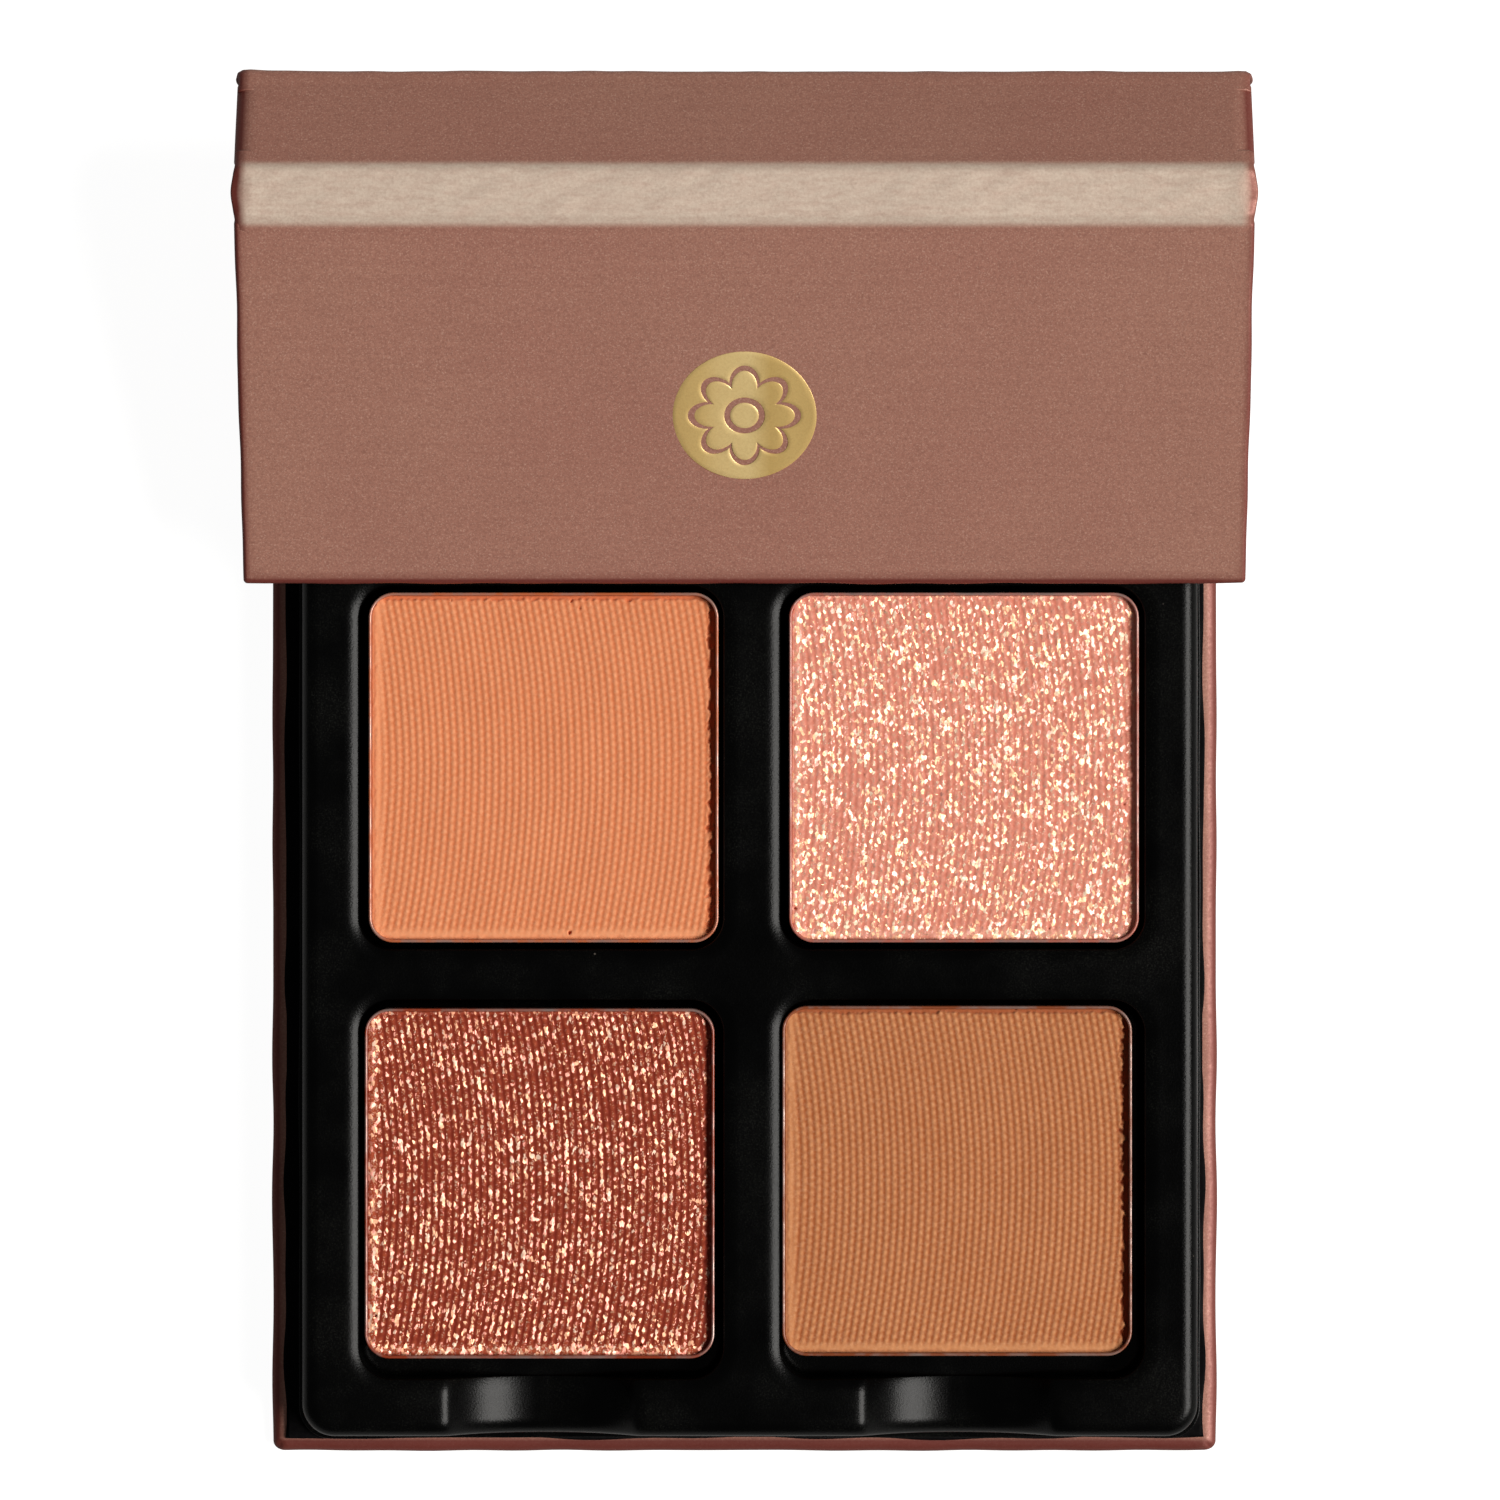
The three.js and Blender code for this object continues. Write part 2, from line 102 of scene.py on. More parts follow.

# Paper over the creases: thickness, height over the panels' wrap, overlap onto each panel, how far
# and over what length its ends dive into the wrap, and how far its sides droop over what width.
SKIN = 0.3
SKIN_PROUD = 0.02
SKIN_OVERLAP = 1.3
SKIN_DIVE = 0.035
SKIN_DIVE_LENGTH = 1.0
SKIN_DROOP = 0.2
SKIN_DROOP_WIDTH = 0.7

# Tray, as in the CAD model: half sizes in X and Y, rounded edges, the slope and break of the
# pockets' rims, the pockets, the finger notches, and the pans' columns and rows.
TRAY_WALL_HALF = (33.3, 33.6)
TRAY_FOOT_HALF = (33.45, 33.75)
TRAY_FLANGE_HALF = (33.8, 34.15)
TRAY_CORNER = 2.4
TRAY_EDGE_ROUND = 1.2
FLANGE_THICKNESS = 0.5
TRAY_SHELL = 0.45
RIM_SLOPE = 2.0
RIM_BREAK = 0.22
RIM_BREAK_ANGLE = math.radians(30)
POCKET_FLOOR = 4.7
POCKET_FLOOR_ROUND = 0.5
POCKET_GAP = 0.53
FINGER_GAP = 1.65
NOTCH_RADIUS = 8.5
NOTCH_DEPTH = 3.7
NOTCH_EDGE = 0.55
NOTCH_CENTRES = (-15.05, 15.95)
COLUMNS = {"left": -15.1, "right": 16.2}
ROWS = {"front": -14.65, "rear": 16.15}

# Pans.
PAN_HALF = 13.0
PAN_CORNER = 1.85
PAN_WALL = 0.22

# Powder: woven press marks, then the points along each side of a cake, its gap to the pan and how
# far its crests lie below the CAD cake's top.
RIB_PITCH = 0.514
BEAD_PITCH = 0.595
RIB_BOW = 0.008
RIB_DEPTH = 0.055
POWDER_GRID = 330
POWDER_GAP = 0.01
POWDER_DOWN = 0.06

# Emblem on the front panel: half sizes, distance of its middle from the fold, height and bedding.
EMBLEM_HALF = (5.3, 5.0)
EMBLEM_FROM_CREASE = 15.6
EMBLEM_RISE = 0.06
EMBLEM_BACK = 0.03

# Floor, light and camera, in metres and radians; the lens and its sensor are in millimetres.
FLOOR_GLOW = 0.95
FLOOR_BOUNCE = 0.12
FLOOR_SIZE = 3.0
FLOOR_DROP = 0.0001
KEY_TILT = math.radians(47)
KEY_HEADING = math.radians(-6)
KEY_STRENGTH = 4.25
KEY_SPREAD = math.radians(36)
KEY_COLOUR = (1.0, 0.975, 0.94)
WORLD_STRENGTH = 0.1
CAMERA_PLACE = (0.00041, 0.01745, 0.6088)
CAMERA_LENS = 193.9
CAMERA_SENSOR = 36


# ---- Meshes -------------------------------------------------------------------------------------


def mesh_object(name, points, faces, attributes=None, face_slots=None):
    """A smooth mesh from points in millimetres and arrays of faces, its normals turned outwards."""
    corners = np.concatenate([f.ravel() for f in faces]).astype(np.int32)
    sizes = np.concatenate([np.full(len(f), f.shape[1]) for f in faces])
    starts = np.concatenate([[0], np.cumsum(sizes)[:-1]]).astype(np.int32)
    mesh = bpy.data.meshes.new(name)
    mesh.vertices.add(len(points))
    mesh.vertices.foreach_set("co", (np.asarray(points) * MM).astype(np.float32).ravel())
    mesh.loops.add(len(corners))
    mesh.loops.foreach_set("vertex_index", corners)
    mesh.polygons.add(len(sizes))
    mesh.polygons.foreach_set("loop_start", starts)
    mesh.polygons.foreach_set("use_smooth", np.ones(len(sizes), bool))
    if face_slots is not None:
        slots = np.concatenate([np.full(len(f), s) for f, s in zip(faces, face_slots)])
        mesh.polygons.foreach_set("material_index", slots.astype(np.int32))
    for key, values in (attributes or {}).items():
        attribute = mesh.attributes.new(key, "FLOAT", "POINT")
        attribute.data.foreach_set("value", np.asarray(values, np.float32).ravel())
    mesh.update(calc_edges=True)
    work = bmesh.new()
    work.from_mesh(mesh)
    bmesh.ops.recalc_face_normals(work, faces=work.faces)
    work.to_mesh(mesh)
    work.free()
    made = bpy.data.objects.new(name, mesh)
    bpy.context.scene.collection.objects.link(made)
    return made


def finish_piece(made, materials, replaces, body=None):
    """Gives a piece its materials, the CAD nodes it stands for and the body it rides on."""
    for material in materials:
        made.data.materials.append(material)
    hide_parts(*replaces)
    if body:
        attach(made, body)


def grid_quads(rows, columns, first=0):
    """Faces over a grid of points, row by row, from point number first."""
    start = np.arange((rows - 1) * columns).reshape(rows - 1, columns)[:, :-1].ravel()
    quads = [start, start + 1, start + columns + 1, start + columns]
    return np.stack(quads, 1) + first


def grid_border(rows, columns):
    """The numbers of the points round the outside of a grid, in order."""
    index = np.arange(rows * columns).reshape(rows, columns)
    return np.concatenate([index[0, :-1], index[:-1, -1], index[-1, :0:-1], index[:0:-1, 0]])


def closed_sheet(outer, inner):
    """Points, faces of the outer side and the edge, and faces of the inner side, of a sheet."""
    rows, columns = outer.shape[:2]
    count = rows * columns
    points = np.concatenate([outer.reshape(-1, 3), inner.reshape(-1, 3)])
    border = grid_border(rows, columns)
    after = np.roll(border, -1)
    edge = np.stack([border, border + count, after + count, after], 1)
    outside = np.concatenate([grid_quads(rows, columns), edge])
    inside = grid_quads(rows, columns, count)[:, ::-1]
    return points, outside, inside


def ring_quads(rings, count, first=0):
    """Faces between closed rings of points, each with the same count."""
    step = np.arange(count)
    after = (step + 1) % count
    bands = [np.stack([step, after, after + count, step + count], 1) + level * count
             for level in range(rings - 1)]
    return np.concatenate(bands) + first


def waves(a, b, seed, length, count=7):
    """A smooth random field of about unit size whose bumps are about that long."""
    draw = np.random.default_rng(seed)
    total = 0
    for _ in range(count):
        heading = draw.uniform(0, 2 * math.pi)
        turn = draw.uniform(0.6, 1.6) * 2 * math.pi / length
        phase = draw.uniform(0, 2 * math.pi)
        total = total + np.sin(turn * (a * math.cos(heading) + b * math.sin(heading)) + phase)
    return total / math.sqrt(count)


def smoothstep(value, low, high):
    """0 below low, 1 above high, and a smooth rise between them."""
    t = np.clip((value - low) / (high - low), 0, 1)
    return t * t * (3 - 2 * t)


def rounded_axis(low, high, radius, cell, steps=6, guard=0.25):
    """Centres and turns across a sheet whose two ends round over, with a small cell beside each."""
    turn = np.linspace(0, math.pi / 2, steps + 1)
    guard = min(guard, (high - low) / 8)
    start, end = low + radius, high - radius
    cells = max(2, round((end - start - 2 * guard) / cell))
    flat = np.linspace(start + guard, end - guard, cells + 1)
    centre = np.concatenate([np.full(steps + 1, start), flat, np.full(steps + 1, end)])
    turns = np.concatenate([-turn[::-1], np.zeros(cells + 1), turn])
    return centre, turns


class Face:
    """A panel's frame: x across, u along it from its first crease, w inwards from its outside."""

    def __init__(self, start, degrees):
        turn = math.radians(degrees)
        self.start = np.array(start, float)
        self.along = np.array([math.cos(turn), math.sin(turn)])
        self.inward = np.array([-math.sin(turn), math.cos(turn)])

    def at(self, u):
        return self.start + u * self.along

    def place(self, x, u, w):
        yz = self.start + u[..., None] * self.along + w[..., None] * self.inward
        return np.stack([x, yz[..., 0], yz[..., 1]], -1)


def slab(
    name, face, half_x, span, depth, radius, seed,
    sway=0.04, ripple=0.02, mitre=0.0, side=None, bare=(True, True),
):
    """A flat sheet with rounded edges, slightly rippled, and dark red edges that fade inwards from
    them, partly wear and partly painted shade.

    side is the radius along its two sides, where it differs from the one at its ends. bare says
    which ends get worn edges with painted shade. mitre sinks a tucked line into each corner of the
    first end, darkened as painted shade.
    """
    side = side or radius
    cell = 1.0
    across, turn_x = rounded_axis(-half_x, half_x, side, cell)
    along, turn_u = rounded_axis(span[0], span[1], radius, cell)
    x, u = np.meshgrid(across, along, indexing="ij")
    tx, tu = np.meshgrid(turn_x, turn_u, indexing="ij")
    way = np.stack([np.sin(tx), np.sin(tu), np.cos(tx) * np.cos(tu)], -1)
    way /= np.linalg.norm(way, axis=-1, keepdims=True)
    sway_x = sway * waves(u, u * 0, seed, 9) * np.sign(tx)
    sway_u = sway * waves(x, x * 0, seed + 1, 9) * np.sign(tu)
    x_out = x + side * way[..., 0] + sway_x
    u_out = u + radius * way[..., 1] + sway_u
    calm = smoothstep(np.minimum(u - span[0], span[1] - u), 1.0, 3.5)
    tuck = np.exp(-(((np.abs(tx) - np.abs(tu)) / 0.2) ** 2))
    tuck *= smoothstep(np.minimum(np.abs(tx), -tu), 0.02, 0.35)
    lift = radius * (1 - way[..., 2]) + ripple * calm * waves(x, u, seed + 2, 14) + mitre * tuck
    outer = face.place(x_out, u_out, depth[0] + lift)
    inner = face.place(x_out, u_out, depth[1] - lift)
    points, outside, inside = closed_sheet(outer, inner)
    # Painted shade mixed with wear: the edges darken inwards towards dark red, a little less on the
    # +x side that faces the key, and the tucked lines darken too.
    near_side = half_x - np.abs(x_out) - min(side, WORN_SHADED_EDGE) / 2
    to_end = (u_out - span[0] if bare[0] else np.inf, span[1] - u_out if bare[1] else np.inf)
    near_end = np.minimum(*to_end) - radius
    wear_and_shade = np.exp(-np.clip(np.minimum(near_side, near_end), 0, None) / WEAR_AND_SHADE_REACH)
    wear_and_shade *= 1 - 0.15 * smoothstep(x_out, half_x - 3, half_x - 1)
    if mitre:
        wear_and_shade = np.maximum(wear_and_shade, tuck)
    return mesh_object(name, points, [outside, inside], {"wear_and_shade": np.concatenate([wear_and_shade, wear_and_shade])})


# ---- Materials ----------------------------------------------------------------------------------


class Material:
    """A node material round one Principled shader. Texture scales count repeats in a metre."""

    def __init__(self, name, **values):
        self.material = bpy.data.materials.new(name)
        self.material.use_nodes = True
        self.tree = self.material.node_tree
        self.shader = self.tree.nodes["Principled BSDF"]
        for key, value in values.items():
            self.shader.inputs[key.replace("_", " ")].default_value = value
        self.place = self.node("ShaderNodeTexCoord").outputs["Object"]

    def node(self, kind, inputs=None, **settings):
        made = self.tree.nodes.new(kind)
        for key, value in settings.items():
            setattr(made, key, value)
        for key, value in (inputs or {}).items():
            self.feed(made.inputs[key], value)
        return made

    def feed(self, socket, value):
        if isinstance(value, bpy.types.NodeSocket):
            self.tree.links.new(value, socket)
        else:
            socket.default_value = value

    def scaled(self, x, y, z):
        settings = {"Vector": self.place, "Scale": (x, y, z)}
        return self.node("ShaderNodeMapping", settings).outputs["Vector"]

    def noise(self, scale, detail=3.0, rough=0.55, vector=None):
        settings = {"Vector": vector or self.place, "Scale": scale,
                    "Detail": detail, "Roughness": rough}
        return self.node("ShaderNodeTexNoise", settings).outputs["Fac"]

    def cells(self, scale, vector=None):
        settings = {"Vector": vector or self.place, "Scale": scale}
        return self.node("ShaderNodeTexVoronoi", settings)

    def remap(self, value, low, high, out_low=0.0, out_high=1.0):
        inputs = {"Value": value, "From Min": low, "From Max": high,
                  "To Min": out_low, "To Max": out_high}
        return self.node("ShaderNodeMapRange", inputs).outputs["Result"]

    def math(self, operation, a, b=0.0):
        return self.node("ShaderNodeMath", {0: a, 1: b}, operation=operation).outputs[0]

    def mix(self, share, a, b):
        made = self.node("ShaderNodeMix", data_type="RGBA")
        self.feed(made.inputs[0], share)
        self.feed(made.inputs[6], a)
        self.feed(made.inputs[7], b)
        return made.outputs[2]

    def attribute(self, name):
        return self.node("ShaderNodeAttribute", attribute_name=name).outputs["Fac"]

    def channels(self, colour):
        return self.node("ShaderNodeSeparateColor", {0: colour}).outputs

    def vector_math(self, operation, a, b=(0.0, 0.0, 0.0)):
        return self.node("ShaderNodeVectorMath", {0: a, 1: b}, operation=operation).outputs[0]

    def bump(self, height, strength, distance):
        inputs = {"Height": height, "Strength": strength, "Distance": distance}
        return self.node("ShaderNodeBump", inputs).outputs["Normal"]

    def set(self, **sockets):
        for key, value in sockets.items():
            self.feed(self.shader.inputs[key.replace("_", " ")], value)


def rgb(red, green, blue):
    """A display colour, 0 to 255, as a linear colour."""
    parts = [c / 255 for c in (red, green, blue)]
    linear = [c / 12.92 if c <= 0.04045 else ((c + 0.055) / 1.055) ** 2.4 for c in parts]
    return (*linear, 1.0)


def pearl_paper():
    """Rose-brown pearl paper: fine speckle, drawn-out streaks, red edges partly worn and partly
    painted shade, and a pale painted highlight on the creases.
    """
    m = Material("pearl_paper", Metallic=0.25, Specular_IOR_Level=0.4)
    speckle = m.noise(5200, 2, 0.6)
    fleck = m.noise(8200, 1, 0.5)
    streak = m.noise(1, 3, 0.6, m.scaled(70, 1500, 1500))
    patch = m.noise(45, 2)
    colour = m.mix(m.remap(streak, 0.3, 0.7), rgb(170, 121, 104), rgb(176, 127, 109))
    colour = m.mix(m.remap(patch, 0.35, 0.65, 0, 0.45), colour, rgb(168, 112, 98))
    colour = m.mix(m.remap(speckle, 0.35, 0.75, 0, 0.55), colour, rgb(128, 84, 72))
    colour = m.mix(m.remap(fleck, 0.55, 0.75, 0, 0.55), colour, rgb(206, 164, 146))
    # Partly wear, partly painted shade: the edges turn dark red.
    colour = m.mix(m.remap(m.attribute("wear_and_shade"), 0.2, 0.9, 0, 0.88), colour, rgb(102, 32, 26))
    # Painted highlight: the crease attribute turns the paper a pale, greyed colour, as if the bend
    # caught the light.
    crease = m.attribute("crease")
    fibre = m.noise(1, 4, 0.7, m.scaled(700, 2600, 2600))
    crease = m.math("MULTIPLY", crease, m.remap(fibre, 0.3, 0.6, 0.72, 1))
    crease_highlight = m.mix(m.remap(speckle, 0.35, 0.7, 0, 0.3), rgb(216, 197, 179), rgb(166, 136, 118))
    colour = m.mix(crease, colour, crease_highlight)
    grain = m.noise(4200, 3, 0.6)
    m.set(
        Base_Color=colour,
        Roughness=m.remap(grain, 0.3, 0.7, 0.4, 0.56),
        Normal=m.bump(m.math("ADD", grain, m.math("MULTIPLY", streak, 0.15)), 0.3, 0.00003),
    )
    return m.material


def black_lining():
    """Black lining paper with a fine, nearly matt fibre."""
    m = Material("black_lining", Specular_IOR_Level=0.05)
    fibre = m.noise(2600, 3, 0.65)
    m.set(
        Base_Color=m.mix(m.remap(fibre, 0.3, 0.7), rgb(4, 3, 4), rgb(12, 11, 12)),
        Roughness=m.remap(m.noise(400), 0.3, 0.7, 0.55, 0.75),
        Normal=m.bump(fibre, 0.3, 0.00003),
    )
    return m.material


def tray_plastic():
    """Black thermoformed sheet with a fine matt grain and a little handling dust."""
    m = Material("tray_plastic", Specular_IOR_Level=0.12)
    grain = m.noise(7000, 2, 0.5)
    broad = m.noise(160, 3)
    dust = m.cells(900)
    size = m.remap(dust.outputs["Distance"], 0.03, 0.09, 1, 0)
    picked = m.math("GREATER_THAN", m.channels(dust.outputs["Color"])[0], 0.985)
    speck = m.math("MULTIPLY", size, picked)
    base = m.mix(m.remap(broad, 0.3, 0.7), rgb(0, 0, 0), rgb(3, 3, 3))
    haze = m.remap(m.noise(9000, 2, 0.6), 0.52, 0.75)
    bloom = m.math("MULTIPLY", haze, m.remap(broad, 0.45, 0.65))
    base = m.mix(m.math("MULTIPLY", bloom, 0.28), base, rgb(58, 60, 54))
    matt = m.math("ADD", m.math("MULTIPLY", grain, 0.5), m.math("MULTIPLY", broad, 0.5))
    m.set(
        Base_Color=m.mix(m.math("MULTIPLY", speck, 0.6), base, rgb(120, 112, 104)),
        Roughness=m.remap(matt, 0.35, 0.65, 0.24, 0.32),
        Normal=m.bump(grain, 0.7, 0.00002),
    )
    return m.material


def pan_metal(name, dust_colour):
    """Bright pressed metal with fine drawing marks and a film of powder."""
    m = Material(name, Specular_IOR_Level=0.5)
    marks = m.noise(1, 3, 0.6, m.scaled(900, 900, 9000))
    film = m.remap(m.noise(330, 4, 0.7), 0.42, 0.68, 1.0, 0.3)
    m.set(
        Base_Color=m.mix(film, rgb(176, 164, 158), dust_colour),
        Metallic=m.math("SUBTRACT", 1.0, film),
        Roughness=m.remap(marks, 0.3, 0.7, 0.28, 0.45),
        Normal=m.bump(marks, 0.2, 0.00002),
    )
    return m.material


def matt_powder(name, crest, shaded_groove, edge):
    """Pressed matt powder: soft colour drift, painted shade in the grooves of the press marks, and
    raw, crumbled edges whose dark colour is partly a painted shadow of the rim.
    """
    m = Material(name, Specular_IOR_Level=0.15, Sheen_Weight=0.08, Sheen_Roughness=0.6)
    relief = m.attribute("relief")
    crumb_and_shade = m.attribute("crumb_and_shade")
    dust = m.noise(5200, 4, 0.7)
    drift = m.noise(130, 3)
    # Painted shade: the grooves of the press marks take the darker colour, the crests the lighter
    # one.
    colour = m.mix(m.remap(relief, 0.0, 0.9), shaded_groove, crest)
    colour = m.mix(m.remap(drift, 0.35, 0.65, 0, 0.16), colour, shaded_groove)
    colour = m.mix(m.remap(dust, 0.45, 0.8, 0, 0.22), colour, rgb(250, 205, 165))
    # Dark edge colour: crumbled powder, and a painted shadow of the rim over the raw gap.
    colour = m.mix(crumb_and_shade, colour, edge)
    m.set(
        Base_Color=colour,
        Roughness=m.remap(dust, 0.3, 0.7, 0.85, 1.0),
        Normal=m.bump(dust, 0.3, 0.00004),
    )
    return m.material


def shimmer_powder(name, crest, shaded_groove, edge, glints, share, crest_glints):
    """Shimmer powder: flakes turned every way in a coloured ground, each a small mirror
    whose pale colour is partly its own and partly a painted glint.

    share is the share of flakes given a pale glint colour, and strings how strongly those painted
    glints gather on the crests of the press marks.
    """
    m = Material(name, Specular_IOR_Level=0.2)
    relief = m.attribute("relief")
    crumb_and_shade = m.attribute("crumb_and_shade")
    clump = m.noise(900, 4, 0.7)
    flakes = m.cells(5200, m.scaled(1.0, 0.62, 1.0)).outputs["Color"]
    fine = m.cells(11000).outputs["Color"]
    chance, tone, _ = m.channels(flakes)
    # Painted shade: the grooves of the press marks take the darker ground colour.
    colour = m.mix(m.remap(relief, 0.0, 0.95), shaded_groove, crest)
    colour = m.mix(m.remap(clump, 0.4, 0.7, 0, 0.35), colour, shaded_groove)
    # Painted highlight: more flakes take the glint colour on the crests of the ribs, where the
    # light catches.
    crest_glint_bias = m.remap(relief, 0, 1, -crest_glints, 0.6 * crest_glints)
    lit = m.math("ADD", crest_glint_bias, m.remap(clump, 0.3, 0.7, 0.1, -0.12))
    large = m.math("GREATER_THAN", m.math("ADD", chance, lit), 1 - share)
    small = m.math("GREATER_THAN", m.math("ADD", m.channels(fine)[0], lit), 1 - share * 0.7)
    tint = m.mix(m.math("GREATER_THAN", tone, 0.45), glints[0], glints[1])
    tint = m.mix(m.math("GREATER_THAN", tone, 0.8), tint, glints[2])
    flake = m.math("MAXIMUM", large, m.math("MULTIPLY", small, 0.65))
    flake = m.math("MULTIPLY", flake, m.math("SUBTRACT", 1.0, crumb_and_shade))
    colour = m.mix(flake, colour, tint)
    # Dark edge colour: crumbled powder, and a painted shadow of the rim over the raw gap.
    colour = m.mix(m.math("MULTIPLY", crumb_and_shade, 0.8), colour, edge)
    sideways = m.remap(flake, 0, 1, 0.2, 1.0)
    lean = m.node("ShaderNodeCombineXYZ", {0: sideways, 1: sideways}).outputs[0]
    tilt = m.vector_math("MULTIPLY", m.vector_math("SUBTRACT", flakes, (0.5, 0.5, 0.5)), lean)
    normal = m.node("ShaderNodeNewGeometry").outputs["Normal"]
    m.set(
        Base_Color=colour,
        Metallic=m.math("MULTIPLY", flake, 0.55),
        Roughness=m.remap(flake, 0, 1, 0.75, 0.48),
        Normal=m.vector_math("NORMALIZE", m.vector_math("ADD", normal, tilt)),
    )
    return m.material


def gold_foil():
    """Banded gold foil: pale and deep bands across its width, fine pressing marks."""
    m = Material("gold_foil", Metallic=0.35)
    across = m.node("ShaderNodeSeparateXYZ", {0: m.place}).outputs["X"]
    half = EMBLEM_HALF[0] * MM
    ramp = m.node("ShaderNodeValToRGB", {0: m.remap(across, -half, half)})
    stops = [
        (0.0, rgb(212, 178, 112)),
        (0.2, rgb(224, 191, 123)),
        (0.32, rgb(236, 205, 140)),
        (0.54, rgb(240, 211, 147)),
        (0.68, rgb(213, 179, 110)),
        (0.84, rgb(222, 188, 119)),
        (1.0, rgb(214, 180, 113)),
    ]
    bands = ramp.color_ramp.elements
    bands[0].position, bands[0].color = stops[0]
    bands[1].position, bands[1].color = stops[-1]
    for position, colour in stops[1:-1]:
        bands.new(position).color = colour
    grain = m.noise(5200, 3, 0.6)
    deep = m.remap(grain, 0.4, 0.75, 0, 0.25)
    m.set(
        Base_Color=m.mix(deep, ramp.outputs["Color"], rgb(150, 112, 60)),
        Roughness=m.remap(grain, 0.3, 0.7, 0.3, 0.44),
        Normal=m.bump(grain, 0.25, 0.00002),
    )
    return m.material


def plain_parts(name, low, high, metallic, roughness):
    """Hidden parts: two close colours in a fine grain."""
    m = Material(name, Metallic=metallic)
    grain = m.noise(3000, 3, 0.6)
    m.set(
        Base_Color=m.mix(m.remap(grain, 0.3, 0.7), low, high),
        Roughness=m.remap(grain, 0.3, 0.7, roughness - 0.06, roughness + 0.06),
        Normal=m.bump(grain, 0.25, 0.00003),
    )
    return m.material


def floor_material():
    """Pale floor that glows white to the camera and hardly lights the palette."""
    m = Material("floor", Specular_IOR_Level=0.2, Roughness=0.9)
    m.set(Base_Color=m.mix(m.noise(30, 2), rgb(148, 148, 147), rgb(152, 152, 151)))
    m.shader.inputs["Emission Color"].default_value = (1, 1, 1, 1)
    seen = m.node("ShaderNodeLightPath").outputs["Is Camera Ray"]
    m.set(Emission_Strength=m.remap(seen, 0, 1, FLOOR_BOUNCE, FLOOR_GLOW))
    return m.material


# ---- Cover --------------------------------------------------------------------------------------

joint_at = {j["name"]: np.array(j["pos_m"][1:]) / MM for j in frame["joints"]}
paper = pearl_paper()
lining = black_lining()

base_low, base_high = (np.array(corner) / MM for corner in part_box("base_wrap"))
base_face = Face((base_low[1], 0), 0)
spine_face = Face(joint_at["spine_crease"], SPINE_ANGLE)
rear_face = Face(joint_at["rear_crease"], REAR_ANGLE)
rear_strip = Face(rear_face.at(REAR_LENGTH), REAR_STRIP_ANGLE)
fold_face = Face(rear_strip.at(STRIP_LENGTH), FOLD_ANGLE)
ridge_strip = Face(fold_face.at(FOLD_LENGTH), RIDGE_ANGLE)
front_face = Face(ridge_strip.at(STRIP_LENGTH), FRONT_ANGLE)

BASE_LENGTH = base_high[1] - base_low[1]
SPINE_SPAN = (PANEL_END_GAP, SPINE_LENGTH - SPINE_TOP_GAP)
REAR_SPAN = (REAR_START_GAP, REAR_LENGTH - PANEL_END_GAP)
FOLD_SPAN = (PANEL_END_GAP, FOLD_LENGTH - PANEL_END_GAP)
FRONT_SPAN = (PANEL_END_GAP, FRONT_LENGTH)
PANELS = {
    "base": (base_face, BASE_HALF_WIDTH, (0, BASE_LENGTH), BASE_THICKNESS, BASE_EDGE),
    "spine": (spine_face, LID_HALF_WIDTH, SPINE_SPAN, PANEL_THICKNESS, COVER_EDGE),
    "rear_panel": (rear_face, LID_HALF_WIDTH, REAR_SPAN, PANEL_THICKNESS, COVER_EDGE),
    "fold_panel": (fold_face, LID_HALF_WIDTH, FOLD_SPAN, PANEL_THICKNESS, SOFT_EDGE),
    "front_panel": (front_face, LID_HALF_WIDTH, FRONT_SPAN, PANEL_THICKNESS, COVER_EDGE),
}


def cover_panel(name, seed):
    """A panel's wrap over its board as one piece, and its lining as another."""
    face, half_x, span, thickness, edge = PANELS[name]
    inner = thickness - LINING - LINING_GAP
    mitre = MITRE_DEPTH if name == "base" else 0.0
    cover = slab(
        name + "_cover", face, half_x, span, (0, inner), edge, seed,
        mitre=mitre, side=SIDE_EDGE.get(name), bare=(name == "base", name == "front_panel"),
    )
    finish_piece(cover, [paper], [name + "_wrap", name + "_board"], name)
    first = LINING_MARGIN if name == "base" else CREASE_MARGIN
    last = LINING_MARGIN if name == "front_panel" else CREASE_MARGIN
    sheet_span = (span[0] + first, span[1] - last)
    sheet = slab(
        name + "_lining", face, half_x - LINING_MARGIN, sheet_span, (inner - LINING_BED, thickness),
        LINING / 2, seed + 50, sway=0.11, ripple=0.01,
    )
    finish_piece(sheet, [lining], [name + "_liner"], name)


for number, panel in enumerate(PANELS):
    cover_panel(panel, 10 * number + 3)


# ---- Creases ------------------------------------------------------------------------------------


